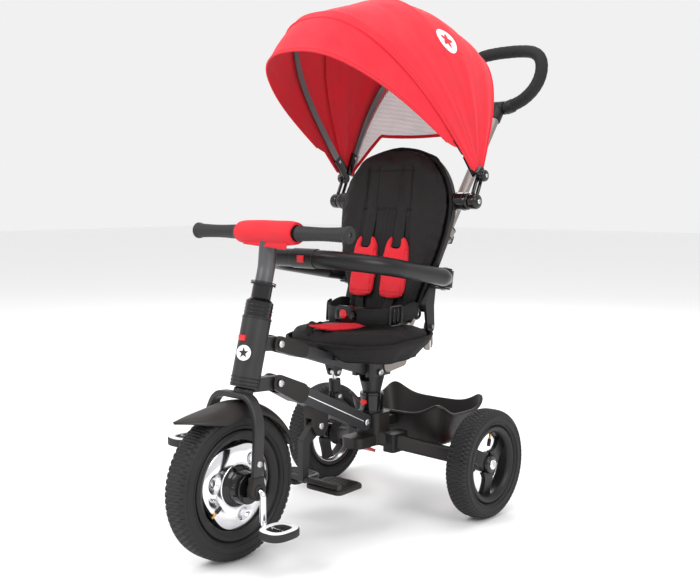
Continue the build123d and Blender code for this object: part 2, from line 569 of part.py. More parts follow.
def backrest():
    plane = back_plane()
    shell = extrude(plane * back_outline(0), -BACK_SHELL_T)
    ear = link(RECLINE_PIVOT, (RECLINE_PIVOT[0] - 4, RECLINE_PIVOT[1] + 40), 11, 13, 95.4, 101)
    ear += link((RECLINE_PIVOT[0] - 4, RECLINE_PIVOT[1] + 40),
                (RECLINE_PIVOT[0] + 4, RECLINE_PIVOT[1] + 74), 13, 10, 84, 101)
    ear -= rod_x(60, 140, RECLINE_PIVOT, PIN_R + RUN_CLEAR)
    cushion = extrude(plane * back_outline(2), BACK_CUSHION_T, taper=14)
    NODES["back_cushion"] = cushion
    shell = shell + ear + mirror(ear, about=Plane.YZ) - cushion
    for room in both_sides(ring_pivot_plane() * Cylinder(RING_R + 1, 2 * RING_R + 4)):
        shell -= room
    NODES["back_shell"] = shell
    straps(plane)
    brackets()


def straps(plane):
    """Shoulder pads and webbing lie on the front of the back cushion."""
    front = BACK_CUSHION_T
    pad = Pos(38, 102, front) * extrude(RectangleRounded(66, 120, 18), 9)
    NODES["shoulder_pads"] = Compound([plane * part for part in both_sides(pad)])
    web = Pos(34, 226, front) * extrude(Rectangle(22, 126), 2.5)
    belt = Pos(62, 22, front) * extrude(Rectangle(70, 26), 6)
    NODES["harness_straps"] = Compound(
        [plane * part for part in both_sides(web) + both_sides(belt)])


def brackets():
    """Carriers on the back shell for the guardrail's pivots and for the canopy's arms."""
    plates = Pos(-18, 0, 17) * extrude(RectangleRounded(64, 24, 9), 3)
    plates += Pos(-18, 0, -20) * extrude(RectangleRounded(64, 24, 9), 3)
    web = Pos(-42, 0, -20) * extrude(Rectangle(12, 24), 40)
    ring_bracket = ring_pivot_plane() * (plates + web + Cylinder(RING_PIN_R, 40))
    ring_bracket -= NODES["back_shell"]
    ring_bracket -= NODES["back_cushion"]
    boss = rod_x(112, CANOPY_ARM_X - GAP, CANOPY_FOOT, 17)
    boss += rod_x(112, CANOPY_ARM_X + CANOPY_ARM_T + 4, CANOPY_FOOT, PIN_R)
    boss = boss - NODES["back_shell"] - NODES["back_cushion"]
    ring_bracket = ring_bracket.solids().sort_by(SortBy.VOLUME)[-1]
    boss = boss.solids().sort_by(SortBy.VOLUME)[-1]
    NODES["back_brackets"] = Compound(both_sides(ring_bracket) + both_sides(boss))


# ---- guardrail ----------------------------------------------------------------------------------
def ring_height(y):
    return RING_FRONT_Z - RING_SLOPE * (y - RING_FRONT_Y)


def ring_point(x, y):
    return (x, y, ring_height(y))


def ring_pivot_plane():
    """Origin on the left pivot of the guardrail, with Z along its pin."""
    return Plane(origin=ring_point(*RING_PIVOT), x_dir=(1, 0, 0), z_dir=(0, RING_SLOPE, 1))


def guardrail():
    x, y = RING_PIVOT
    points = [ring_point(0, RING_FRONT_Y), ring_point(RING_HALF, RING_FRONT_Y),
              ring_point(RING_HALF, -62), ring_point(x, y)]
    rail = swept(points, [RING_CORNER, 24], RING_R)
    boss = ring_pivot_plane() * Cylinder(RING_R, 2 * RING_R)
    rail = rail + boss - ring_pivot_plane() * Cylinder(RING_PIN_R + RUN_CLEAR, 80)
    right = mirror(rail, about=Plane.YZ)
    right -= box((CATCH_LOW - GAP, 60), (RING_FRONT_Y - 40, RING_FRONT_Y + 40), (400, 600))
    NODES["guardrail_right"] = right
    catch = rod_x(CATCH_LOW, CATCH_HIGH, (RING_FRONT_Y, RING_FRONT_Z), CATCH_R)
    catch = fillet(catch.edges().filter_by(GeomType.CIRCLE), 1.5)
    middle = (CATCH_LOW + CATCH_HIGH) / 2 + 3
    outside = RING_FRONT_Y - CATCH_R
    NODES["guardrail_left"] = rail + catch - box(
        (middle - 7.2, middle + 7.2), (outside - 1, outside + 9), (RING_FRONT_Z - 6.2, RING_FRONT_Z + 6.2))
    NODES["ring_button"] = box((middle - 7, middle + 7), (outside - 2, outside + 5),
                               (RING_FRONT_Z - 6, RING_FRONT_Z + 6))


# ---- canopy -------------------------------------------------------------------------------------
def arch_points(width, height):
    """Points of half a superellipse from its foot to its top, without the lowest stretch."""
    steps = 8
    points = [(width, ARCH_LOW)]
    for i in range(1, steps + 1):
        angle = radians(90.0 * i / steps)
        x, h = width * cos(angle) ** (2 / COVER_POWER), height * sin(angle) ** (2 / COVER_POWER)
        if h > 2 * ARCH_LOW:
            points.append((x, h))
    return points


def arch_band(width, height, thickness):
    """A superellipse arch as a flat band, its feet on the X axis side."""
    outlines = []
    for inset in (0, thickness):
        right = arch_points(width - inset, height - inset)
        outlines.append(right + [(-x, h) for x, h in reversed(right[:-1])])
    outer, inner = outlines
    return make_face([Spline(*outer), Line(outer[-1], inner[-1]),
                      Spline(*reversed(inner)), Line(inner[0], outer[0])])


def fan(angle):
    """Puts a flat arch on the canopy's pivot line, leaning forward by this angle."""
    return Pos(0, *CANOPY_PIVOT) * Rot(90 + angle, 0, 0)


def cover(half_width, stations):
    """A thin hood section through arches at each (lean, height)."""
    return loft([fan(angle) * arch_band(half_width, height, COVER_T) for angle, height in stations])


def rib(half_width, height, angle, eye_low, eye_high):
    """A flat strap bent to the arch, with an eye at each foot."""
    hoop = extrude(arch_band(half_width, height, RIB_T), RIB_W / 2, both=True)
    foot = box((half_width - RIB_T, half_width), (0, ARCH_LOW + 1), (-RIB_W / 2, RIB_W / 2))
    strap = fan(angle) * (hoop + foot + mirror(foot, about=Plane.YZ))
    eye = rod_x(eye_low, eye_high, CANOPY_PIVOT, RIB_EYE_R)
    strap = strap + eye + mirror(eye, about=Plane.YZ)
    return strap - rod_x(-300, 300, CANOPY_PIVOT, PIN_R + RUN_CLEAR)


def canopy():
    arm_end = CANOPY_ARM_X + CANOPY_ARM_T
    arm = link(CANOPY_FOOT, CANOPY_PIVOT, 13, 12, CANOPY_ARM_X, arm_end)
    arm += rod_x(CANOPY_ARM_X - 9, arm_end + 9, CANOPY_PIVOT, PIN_R)
    arm -= rod_x(100, 200, CANOPY_FOOT, PIN_R + RUN_CLEAR)
    NODES["canopy_arms"] = Compound(both_sides(arm))
    NODES["canopy_front"] = cover(FRONT_COVER_W, FRONT_COVER)
    NODES["canopy_rear"] = cover(REAR_COVER_W, REAR_COVER)
    # the front strap lies on its cover and clears the rear cover; the rear strap lies inside its own
    front_half = arm_end + GAP + RIB_T
    NODES["canopy_rib_front"] = rib(front_half, FRONT_COVER[-1][1] + RIB_T + 1, FRONT_RIB_LEAN,
                                    arm_end + GAP, arm_end + 8)
    rear_half = REAR_COVER_W - COVER_T - 1
    NODES["canopy_rib_rear"] = rib(rear_half, REAR_COVER[0][1] - COVER_T - 1, REAR_RIB_LEAN,
                                   rear_half - RIB_T, CANOPY_ARM_X - GAP)


# ---- push rod and handle ------------------------------------------------------------------------
def rod_point(distance):
    lean = radians(ROD_LEAN)
    return (0, ROD_LOW[0] + distance * sin(lean), ROD_LOW[1] + distance * cos(lean))


def rod_piece(low, high, radius):
    lean = radians(ROD_LEAN)
    plane = Plane(origin=rod_point((low + high) / 2), x_dir=(1, 0, 0), z_dir=(0, sin(lean), cos(lean)))
    return plane * Cylinder(radius, high - low)


def push_handle():
    inner_r = ROD_R - ROD_WALL
    outer = rod_piece(0, ROD_OUTER_LEN, ROD_R) + rod_piece(ROD_OUTER_LEN - 26, ROD_OUTER_LEN, 17)
    NODES["push_rod_lower"] = outer - rod_piece(6, ROD_OUTER_LEN + 1, inner_r)
    pivot = rod_point(HANDLE_REACH)[1:]
    upper = rod_piece(ROD_INNER_FROM, HANDLE_REACH - 8, inner_r - RUN_CLEAR)
    upper -= rod_piece(ROD_INNER_FROM - 1, HANDLE_REACH - 12, inner_r - RUN_CLEAR - ROD_WALL)
    clamp = rod_x(-CLAMP_HALF, CLAMP_HALF, pivot, CLAMP_R)
    clamp += rod_piece(HANDLE_REACH - 34, HANDLE_REACH, 14)
    clamp -= rod_x(-60, 60, pivot, PIN_R + RUN_CLEAR)
    NODES["handle_clamp"] = clamp - rod_piece(HANDLE_REACH - 60, HANDLE_REACH - 8, inner_r - RUN_CLEAR)
    NODES["push_rod_upper"] = upper
    half, height = HANDLE_HALF, HANDLE_H
    right = [(22, 0, 2), (half * 0.68, 0, height * 0.16), (half * 1.02, 0, height * 0.62),
             (half * 0.94, 0, height)]
    points = right + [(-x, y, h) for x, y, h in reversed(right)]
    loop = swept(points, [34, 36, 26, 26, 36, 34], HANDLE_FOAM_R)
    loop = Pos(0, *pivot) * Rot(-HANDLE_LEAN, 0, 0) * loop
    cheek = rod_x(CLAMP_HALF + GAP, CLAMP_HALF + 12, pivot, 14)
    loop = loop + cheek + mirror(cheek, about=Plane.YZ)
    loop -= rod_x(-CLAMP_HALF - GAP, CLAMP_HALF + GAP, pivot, 80)
    NODES["handle_loop"] = loop + rod_x(-CLAMP_HALF - 4, CLAMP_HALF + 4, pivot, PIN_R)


# ---- basket, rear wheels and brakes -------------------------------------------------------------
def basket():
    middle = BASKET_BACK - BASKET_Y / 2
    low = Plane(origin=(0, middle, BASKET_LOW)) * RectangleRounded(
        BASKET_X - 2 * BASKET_TAPER, BASKET_Y - 2 * BASKET_TAPER, 22)
    high = Plane(origin=(0, middle, BASKET_HIGH)) * RectangleRounded(BASKET_X, BASKET_Y, 34)
    body = loft([low, high])
    wall = BASKET_WALL
    low_in = Plane(origin=(0, middle, BASKET_LOW + wall)) * RectangleRounded(
        BASKET_X - 2 * BASKET_TAPER - 2 * wall, BASKET_Y - 2 * BASKET_TAPER - 2 * wall, 19)
    high_in = Plane(origin=(0, middle, BASKET_HIGH + 0.5)) * RectangleRounded(
        BASKET_X - 2 * wall, BASKET_Y - 2 * wall, 31)
    body -= loft([low_in, high_in])
    dip = 24.0
    across = (BASKET_X * 0.62 / 2) ** 2 / (2 * dip) + dip / 2
    body -= Plane(origin=(0, middle, BASKET_HIGH - dip + across), z_dir=(0, 1, 0)) * Cylinder(
        across, 2 * BASKET_Y)
    length = (BASKET_Y * 0.62 / 2) ** 2 / (2 * dip) + dip / 2
    body -= rod_x(-BASKET_X, BASKET_X, (middle, BASKET_HIGH - dip + length), length)
    NODES["basket"] = body
    front = BASKET_BACK - BASKET_Y
    hook = box((-14, 14), (-64, front + 20), (158, 176)) - body
    hook = hook.solids().sort_by(Axis.Y)[0]
    clip = box((30, 58), (-98, -50), (116, 152))
    clip = fillet(clip.edges().filter_by(Axis.Z), 6) - NODES["rear_arms"] - NODES["hub_casting"]
    clip = clip - body
    NODES["basket_clips"] = Compound([hook - NODES["hub_casting"]] + [
        piece for side in both_sides(clip) for piece in side.solids()])


def rear_wheels():
    for name, side in (("left", 1), ("right", -1)):
        centre = (side * REAR_TRACK / 2, 0, REAR_WHEEL_R)
        tyre = wheel_at(tyre_profile(REAR_WHEEL_R, REAR_RIM_R, REAR_TYRE_W), centre)
        NODES["rear_tyre_" + name] = tyre
        half = REAR_TYRE_W * 0.39
        barrel = Pos(0, REAR_RIM_R - 3) * Rectangle(2 * half, 6)
        hub = Pos(0, 9) * Rectangle(2 * half, 18)
        rim = revolve(barrel, Axis.X, 360) + revolve(hub, Axis.X, 360)
        for turn in range(3):
            spoke = box((-4, 6), (-11, 11), (14, REAR_RIM_R - 4))
            rim += Rot(120 * turn, 0, 0) * spoke
        rim -= Rot(0, 90, 0) * Cylinder(AXLE_R + RUN_CLEAR, 80)
        rim = Pos(*centre) * (rim if side > 0 else mirror(rim, about=Plane.YZ))
        NODES["rear_rim_" + name] = rim


def brake_pedals():
    for name, side, angle in (("left", 1, BRAKE_UP_LEFT), ("right", -1, BRAKE_UP_RIGHT)):
        plate = box((BRAKE_X, HOUSING_X - 1), (8, BRAKE_LEN), (-3, 3))
        plate = fillet(plate.edges().filter_by(Axis.Z), 7)
        eye = rod_x(HOUSING_X - 12, HOUSING_X - GAP, (0, 0), 10)
        eye += box((HOUSING_X - 12, HOUSING_X - 1), (0, 20), (-3, 3))
        pedal = plate + eye - rod_x(100, 180, (0, 0), PIN_R + RUN_CLEAR)
        pedal = Pos(0, *BRAKE_PIVOT) * Rot(angle, 0, 0) * pedal
        NODES["brake_pedal_" + name] = pedal if side > 0 else mirror(pedal, about=Plane.YZ)


def export(nodes):
    """Move everything so that the origin is the middle of the footprint, and write it."""
    os.makedirs("parts", exist_ok=True)
    everything = Compound([s for shape in nodes.values() for s in shape.solids()]).bounding_box()
    shift = -(everything.min.Y + everything.max.Y) / 2
    for name, shape in nodes.items():
        solids = [Pos(0, shift, 0) * solid for solid in shape.solids()]
        export_step(Compound(solids) if len(solids) > 1 else solids[0], f"parts/{name}.step")
    print("nodes", len(nodes), "shift", round(shift, 3), "size", everything.size)
    return shift


front_wheel()
crank_and_pedals()
fork()
fender()
handlebar()
head()
folding_frame()
footrest()
rear_frame()
seat_post()
seat()
backrest()
guardrail()
canopy()
push_handle()
basket()
rear_wheels()
brake_pedals()
SHIFT = export(NODES)
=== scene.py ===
"""Looks of the children's tricycle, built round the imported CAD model. Metres, +Z up, -Y forward."""

import bpy
import json
from math import asin, atan2, cos, degrees, exp, hypot, pi, radians, sin
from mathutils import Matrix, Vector, noise


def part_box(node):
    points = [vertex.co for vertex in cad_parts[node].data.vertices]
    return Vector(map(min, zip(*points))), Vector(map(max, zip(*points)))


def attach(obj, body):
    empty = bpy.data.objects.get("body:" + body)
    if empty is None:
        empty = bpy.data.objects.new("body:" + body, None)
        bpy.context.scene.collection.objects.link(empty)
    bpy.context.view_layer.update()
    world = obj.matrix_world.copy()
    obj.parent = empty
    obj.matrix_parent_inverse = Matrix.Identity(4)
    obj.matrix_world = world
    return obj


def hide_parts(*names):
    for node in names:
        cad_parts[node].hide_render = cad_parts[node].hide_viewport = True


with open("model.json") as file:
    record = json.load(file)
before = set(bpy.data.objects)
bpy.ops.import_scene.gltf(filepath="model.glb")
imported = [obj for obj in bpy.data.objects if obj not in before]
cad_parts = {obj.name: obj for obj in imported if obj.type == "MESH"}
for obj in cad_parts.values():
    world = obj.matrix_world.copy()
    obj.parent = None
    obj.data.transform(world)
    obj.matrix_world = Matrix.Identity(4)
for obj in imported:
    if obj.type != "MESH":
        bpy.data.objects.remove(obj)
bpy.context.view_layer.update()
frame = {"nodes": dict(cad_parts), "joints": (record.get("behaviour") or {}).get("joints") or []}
MM = 0.001


def middle(node):
    low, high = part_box(node)
    return (low + high) / 2


REAR_AXLE = middle("rear_tyre_left")
FRONT_AXLE = middle("front_tyre")
JOINTS = {joint["name"]: joint for joint in frame["joints"]}


def at(x, y, z):
    """A point given in millimetres, with y measured from the rear axle and z from the ground."""
    return Vector((x * MM, REAR_AXLE.y + y * MM, z * MM))


def pivot(joint):
    return Vector(JOINTS[joint]["pos_m"])


# ---- materials ----------------------------------------------------------------------------------
MATERIALS = {}


def node_material(name, colour, roughness, metallic=0.0, sheen=0.0, coat=0.0):
    material = bpy.data.materials.new(name)
    material.use_nodes = True
    shader = material.node_tree.nodes["Principled BSDF"]
    shader.inputs["Base Color"].default_value = (*colour, 1)
    shader.inputs["Roughness"].default_value = roughness
    shader.inputs["Metallic"].default_value = metallic
    shader.inputs["Sheen Weight"].default_value = sheen
    shader.inputs["Coat Weight"].default_value = coat
    if metallic == 0 and max(colour) < 0.06:
        shader.inputs["Specular IOR Level"].default_value = 0.3
    material.diffuse_color = (*colour, 1)
    MATERIALS[name] = material
    return material, shader


def add(material, kind, **values):
    node = material.node_tree.nodes.new(kind)
    for key, value in values.items():
        if key in node.inputs:
            node.inputs[key].default_value = value
        else:
            setattr(node, key, value)
    return node


def wire(material, out_socket, in_socket):
    material.node_tree.links.new(out_socket, in_socket)


def object_coords(material, scale=(1, 1, 1), turn=(0, 0, 0)):
    coords = add(material, "ShaderNodeTexCoord")
    mapping = add(material, "ShaderNodeMapping")
    mapping.inputs["Scale"].default_value = scale
    mapping.inputs["Rotation"].default_value = turn
    wire(material, coords.outputs["Object"], mapping.inputs["Vector"])
    return mapping.outputs["Vector"]


def noise_texture(material, vector, scale, detail=4.0):
    texture = add(material, "ShaderNodeTexNoise", Scale=scale, Detail=detail)
    wire(material, vector, texture.inputs["Vector"])
    return texture.outputs["Fac"]


def ranged(material, value, low, high, from_low=0.3, from_high=0.7):
    node = add(material, "ShaderNodeMapRange")
    node.inputs["From Min"].default_value = from_low
    node.inputs["From Max"].default_value = from_high
    node.inputs["To Min"].default_value = low
    node.inputs["To Max"].default_value = high
    wire(material, value, node.inputs["Value"])
    return node.outputs["Result"]


def shade(material, shader, factor, dark, light):
    """Base colour runs from dark to light with the factor."""
    ramp = add(material, "ShaderNodeValToRGB")
    ramp.color_ramp.elements[0].position = 0.3
    ramp.color_ramp.elements[1].position = 0.7
    ramp.color_ramp.elements[0].color = (*dark, 1)
    ramp.color_ramp.elements[1].color = (*light, 1)
    wire(material, factor, ramp.inputs["Fac"])
    wire(material, ramp.outputs["Color"], shader.inputs["Base Color"])


def bump(material, shader, height, strength, distance):
    node = add(material, "ShaderNodeBump", Strength=strength, Distance=distance)
    wire(material, height, node.inputs["Height"])
    previous = shader.inputs["Normal"].links
    if previous:
        wire(material, previous[0].from_socket, node.inputs["Normal"])
    wire(material, node.outputs["Normal"], shader.inputs["Normal"])


def tint(colour, factor):
    return tuple(min(1.0, channel * factor) for channel in colour)


def hard_material(name, colour, roughness, metallic=0.0, grain=700.0, grain_depth=0.00006, vary=0.12,
                  coat=0.0):
    """Plastic, paint or metal: a fine grain, a slow change of tone and uneven gloss."""
    material, shader = node_material(name, colour, roughness, metallic, coat=coat)
    vector = object_coords(material)
    slow = noise_texture(material, vector, 14.0)
    shade(material, shader, slow, tint(colour, 1 - vary), tint(colour, 1 + vary))
    fine = noise_texture(material, vector, grain, 2.0)
    wire(material, ranged(material, slow, roughness * 0.85, min(1.0, roughness * 1.15)),
         shader.inputs["Roughness"])
    bump(material, shader, fine, 0.5, grain_depth)
    return material


def weave(material, vector, pitch):
    """Height of a plain weave: two crossed sets of threads on diagonal planes of the object."""
    total = None
    for direction in ("X", "Z", "Y"):
        bands = add(material, "ShaderNodeTexWave", Scale=1.0 / pitch, Distortion=0.4,
                    bands_direction=direction)
        bands.inputs["Detail"].default_value = 1.0
        wire(material, vector, bands.inputs["Vector"])
        if total is None:
            total = bands.outputs["Fac"]
            continue
        mix = add(material, "ShaderNodeMath", operation="MULTIPLY")
        wire(material, total, mix.inputs[0])
        wire(material, bands.outputs["Fac"], mix.inputs[1])
        total = mix.outputs[0]
    return total


def fabric_material(name, colour, pitch=0.004, depth=0.00025, sheen=0.3, vary=0.14, crease=0.0):
    """Woven cloth: threads, slubs, a soft change of tone and long shallow creases."""
    material, shader = node_material(name, colour, 0.85, sheen=sheen)
    shader.inputs["Sheen Roughness"].default_value = 0.5
    vector = object_coords(material)
    turned = object_coords(material, turn=(0.5, 0.3, 0.4))
    threads = weave(material, turned, pitch)
    cloudy = noise_texture(material, vector, 22.0, 5.0)
    shade(material, shader, cloudy, tint(colour, 1 - vary), tint(colour, 1 + vary))
    wire(material, ranged(material, cloudy, 0.74, 0.92), shader.inputs["Roughness"])
    bump(material, shader, threads, 0.6, depth)
    if crease:
        folds = noise_texture(material, object_coords(material, scale=(1, 1, 0.35)), 16.0, 3.0)
        bump(material, shader, folds, 0.5, crease)
    return material


def webbing_material(name, colour):
    material, shader = node_material(name, colour, 0.7, sheen=0.03)
    vector = object_coords(material, turn=(0, 0.785, 0.5))
    ribs = add(material, "ShaderNodeTexWave", Scale=420.0, Distortion=0.2, bands_direction="DIAGONAL")
    wire(material, vector, ribs.inputs["Vector"])
    wire(material, ranged(material, ribs.outputs["Fac"], 0.55, 0.85, 0, 1), shader.inputs["Roughness"])
    shade(material, shader, noise_texture(material, vector, 60.0), tint(colour, 0.8), tint(colour, 1.3))
    bump(material, shader, ribs.outputs["Fac"], 0.7, 0.0003)


def tyre_material():
    material, shader = node_material("tyre_rubber", (0.014, 0.014, 0.015), 0.66)
    vector = object_coords(material)
    dust = noise_texture(material, vector, 35.0, 6.0)
    shade(material, shader, dust, (0.011, 0.011, 0.012), (0.021, 0.021, 0.022))
    wire(material, ranged(material, dust, 0.5, 0.75), shader.inputs["Roughness"])
    bump(material, shader, noise_texture(material, vector, 500.0, 2.0), 0.5, 0.00012)


def chrome_material():
    material, shader = node_material("chrome", (0.82, 0.82, 0.84), 0.09, 1.0)
    vector = object_coords(material)
    smear = noise_texture(material, vector, 30.0, 6.0)
    wire(material, ranged(material, smear, 0.05, 0.16), shader.inputs["Roughness"])
    shade(material, shader, smear, (0.74, 0.74, 0.77), (0.88, 0.88, 0.9))


def brushed_material(name, colour, roughness=0.32):
    material, shader = node_material(name, colour, roughness, 1.0)
    vector = object_coords(material, scale=(1, 1, 14))
    lines = noise_texture(material, vector, 120.0, 5.0)
    wire(material, ranged(material, lines, roughness * 0.75, roughness * 1.3), shader.inputs["Roughness"])
    shade(material, shader, lines, tint(colour, 0.88), tint(colour, 1.1))
    bump(material, shader, lines, 0.3, 0.00004)


def make_materials():
    tyre_material()
    chrome_material()
    hard_material("rim_silver", (0.62, 0.62, 0.64), 0.22, 1.0, grain=400, grain_depth=0.00003)
    hard_material("plastic_black", (0.012, 0.0115, 0.012), 0.42)
    hard_material("plastic_brown_black", (0.019, 0.016, 0.0155), 0.42, grain=500)
    hard_material("plastic_gloss", (0.006, 0.006, 0.0065), 0.15, grain=300, grain_depth=0.00002, coat=0.3)
    hard_material("rail_black", (0.010, 0.0095, 0.010), 0.34, grain=900)
    hard_material("foam_black", (0.012, 0.0112, 0.0112), 0.7, grain=1100, grain_depth=0.00025)
    hard_material("grip_rubber", (0.021, 0.0205, 0.021), 0.58, grain=900, grain_depth=0.00015)
    hard_material("paint_grey", (0.042, 0.042, 0.045), 0.38, 0.3, grain=1200)
    hard_material("paint_dark", (0.024, 0.023, 0.024), 0.40, 0.25, grain=1200)
    hard_material("stem_grey", (0.10, 0.10, 0.105), 0.34, 0.6, grain=900)
    hard_material("button_red", (0.72, 0.012, 0.02), 0.28, grain=500, grain_depth=0.00003)
    hard_material("pedal_red", (0.62, 0.012, 0.02), 0.4)
    hard_material("white_print", (0.86, 0.86, 0.86), 0.5)
    hard_material("pedal_white", (0.78, 0.78, 0.79), 0.35)
    brushed_material("steel", (0.62, 0.62, 0.64))
    brushed_material("brass", (0.62, 0.36, 0.12), 0.35)
    brushed_material("rib_grey", (0.20, 0.20, 0.21), 0.45)
    brushed_material("champagne", (0.30, 0.265, 0.25), 0.42)
    fabric_material("canopy_red", (0.66, 0.010, 0.026), crease=0.0025, sheen=0.06, vary=0.08)
    fabric_material("pad_red", (0.62, 0.008, 0.020), pitch=0.003, crease=0.001, sheen=0.05, vary=0.1)
    fabric_material("binding_red", (0.36, 0.005, 0.012), pitch=0.002, sheen=0.05)
    fabric_material("seat_black", (0.0115, 0.0100, 0.0105), pitch=0.0032, depth=0.0003, sheen=0.02, crease=0.002)
    fabric_material("piping_black", (0.008, 0.0075, 0.008), pitch=0.002, sheen=0.02)
    fabric_material("net_white", (0.62, 0.62, 0.63), pitch=0.002, sheen=0.1)
    webbing_material("webbing_black", (0.008, 0.008, 0.0085))


# ---- mesh helpers -------------------------------------------------------------------------------
def new_piece(name, vertices, faces, material, body, slot, smooth=True):
    mesh = bpy.data.meshes.new(name)
    mesh.from_pydata([tuple(v) for v in vertices], [], faces)
    mesh.validate()
    mesh.update()
    piece = bpy.data.objects.new(name, mesh)
    bpy.context.scene.collection.objects.link(piece)
    return dress(piece, material, body, slot, smooth)


def dress(piece, material, body, slot, smooth=True):
    piece.data.materials.clear()
    piece.data.materials.append(MATERIALS[material])
    piece.data.polygons.foreach_set("use_smooth", [smooth] * len(piece.data.polygons))
    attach(piece, body)
    return piece


def recalculate(piece):
    """Faces outwards."""
    import bmesh
    work = bmesh.new()
    work.from_mesh(piece.data)
    bmesh.ops.recalc_face_normals(work, faces=work.faces)
    work.to_mesh(piece.data)
    work.free()


def ring_faces(rows, columns, close_rows=False, close_columns=True):
    """Quads of a grid whose vertices run row by row."""
    faces = []
    for i in range(rows if close_rows else rows - 1):
        for j in range(columns if close_columns else columns - 1):
            a, b = i * columns + j, i * columns + (j + 1) % columns
            c, d = ((i + 1) % rows) * columns + (j + 1) % columns, ((i + 1) % rows) * columns + j
            faces.append((a, b, c, d))
    return faces


def basis(axis):
    """Two unit vectors across an axis."""
    axis = Vector(axis).normalized()
    side = Vector((0, 0, 1)) if abs(axis.z) < 0.9 else Vector((0, 1, 0))
    first = axis.cross(side).normalized()
    return axis, first, axis.cross(first)


def lathe(name, profile, centre, axis, material, body, slot, segments=96, swell=None):
    """Turns a closed (along, radius) outline about an axis. swell(angle, index) adds to a radius."""
    axis, first, second = basis(axis)
    vertices = []
    for i in range(segments):
        angle = 2 * pi * i / segments
        for j, (along, radius) in enumerate(profile):
            extra = swell(angle, j) if swell else 0.0
            out = (radius + extra) * MM
            vertices.append(centre + axis * along * MM + first * cos(angle) * out + second * sin(angle) * out)
    piece = new_piece(name, vertices, ring_faces(segments, len(profile), True, True), material, body, slot)
    recalculate(piece)
    return piece


def rounded(corners, radius, steps=4):
    """A closed outline with each corner rounded."""
    result = []
    count = len(corners)
    for i in range(count):
        p, q, r = (Vector(corners[k % count]) for k in (i - 1, i, i + 1))
        before, after = (p - q), (r - q)
        cut = min(radius, before.length * 0.45, after.length * 0.45)
        a, b = q + before.normalized() * cut, q + after.normalized() * cut
        for k in range(steps + 1):
            t = k / steps
            result.append(tuple(a * (1 - t) ** 2 + q * 2 * t * (1 - t) + b * t ** 2))
    return result


def plate(name, outline, centre, axis, low, high, bevel, material, body, slot):
    """A flat part: a closed outline in the plane across the axis, thick from low to high, in mm.
    With axis X the outline is in (y, z)."""
    axis = Vector(axis).normalized()
    if abs(axis.x) > 0.9:
        first, second = Vector((0, 1, 0)), Vector((0, 0, 1))
    elif abs(axis.y) > 0.9:
        first, second = Vector((1, 0, 0)), Vector((0, 0, 1))
    else:
        first, second = Vector((1, 0, 0)), axis.cross(Vector((1, 0, 0)))
    layers = []
    inset = min(bevel, (high - low) / 2.2)
    middle_point = Vector((sum(p[0] for p in outline), sum(p[1] for p in outline))) / len(outline)
    for along, shrink in ((low, inset), (low + inset * 0.3, inset * 0.3), (low + inset, 0),
                          (high - inset, 0), (high - inset * 0.3, inset * 0.3), (high, inset)):
        row = []
        for p in outline:
            away = Vector(p) - middle_point
            p = Vector(p) - away.normalized() * shrink if away.length > 0 else Vector(p)
            row.append(centre + axis * along * MM + first * p[0] * MM + second * p[1] * MM)
        layers.append(row)
    count = len(outline)
    vertices = [v for row in layers for v in row]
    faces = ring_faces(len(layers), count)
    faces.append(tuple(range(count)))
    faces.append(tuple(range((len(layers) - 1) * count, len(layers) * count)))
    piece = new_piece(name, vertices, faces, material, body, slot, smooth=True)
    recalculate(piece)
    keep_edges(piece)
    return piece


def keep_edges(piece, angle=38.0):
    """Marks the sharp edges, so that flat faces look flat."""
    piece.data.set_sharp_from_angle(angle=radians(angle))


def circle(radius, centre=(0, 0), count=24):
    return [(centre[0] + radius * cos(2 * pi * i / count), centre[1] + radius * sin(2 * pi * i / count))
            for i in range(count)]


def catmull(points, per=10, closed=False):
    """A smooth line through the points."""
    points = [Vector(p) for p in points]
    count = len(points)
    result = []
    for i in range(count if closed else count - 1):
        if closed:
            p = [points[(i + k) % count] for k in (-1, 0, 1, 2)]
        else:
            p = [points[min(max(i + k, 0), count - 1)] for k in (-1, 0, 1, 2)]
        for k in range(per):
            t = k / per
            result.append(0.5 * (2 * p[1] + (p[2] - p[0]) * t
                                 + (2 * p[0] - 5 * p[1] + 4 * p[2] - p[3]) * t * t
                                 + (3 * p[1] - p[0] - 3 * p[2] + p[3]) * t ** 3))
    if not closed:
        result.append(points[-1])
    return result


def sweep(name, path, section, across, material, body, slot, closed=False):
    """Carries a section along a path. section(share) gives (across, out) pairs in metres; across is
    a reference vector, or a list with one vector for each point."""
    count = len(path)
    vertices = []
    columns = 0
    for i, point in enumerate(path):
        ahead = path[(i + 1) % count] if closed or i + 1 < count else path[i]
        behind = path[i - 1] if closed or i > 0 else path[i]
        tangent = (ahead - behind).normalized()
        reference = across[i] if isinstance(across, list) else across
        side = (reference - tangent * reference.dot(tangent)).normalized()
        out = tangent.cross(side)
        ring = section(i / (count - 1))
        columns = len(ring)
        vertices += [point + side * a + out * b for a, b in ring]
    faces = ring_faces(count, columns, closed, True)
    if not closed:
        faces.append(tuple(range(columns)))
        faces.append(tuple(range((count - 1) * columns, count * columns)))
    piece = new_piece(name, vertices, faces, material, body, slot)
    recalculate(piece)
    return piece


def oval(a, b, count=20):
    return [(a * cos(2 * pi * i / count), b * sin(2 * pi * i / count)) for i in range(count)]


def strip(width, thickness):
    """Section of a flat strap with rounded edges."""
    w, t = width / 2, thickness / 2
    return [(-w, 0), (-w * 0.96, -t), (0, -t), (w * 0.96, -t), (w, 0), (w * 0.96, t), (0, t), (-w * 0.96, t)]


def tube(name, path, radius, material, body, slot, across=Vector((1, 0, 0)), closed=False):
    return sweep(name, path, lambda share: oval(radius, radius), across, material, body, slot, closed)


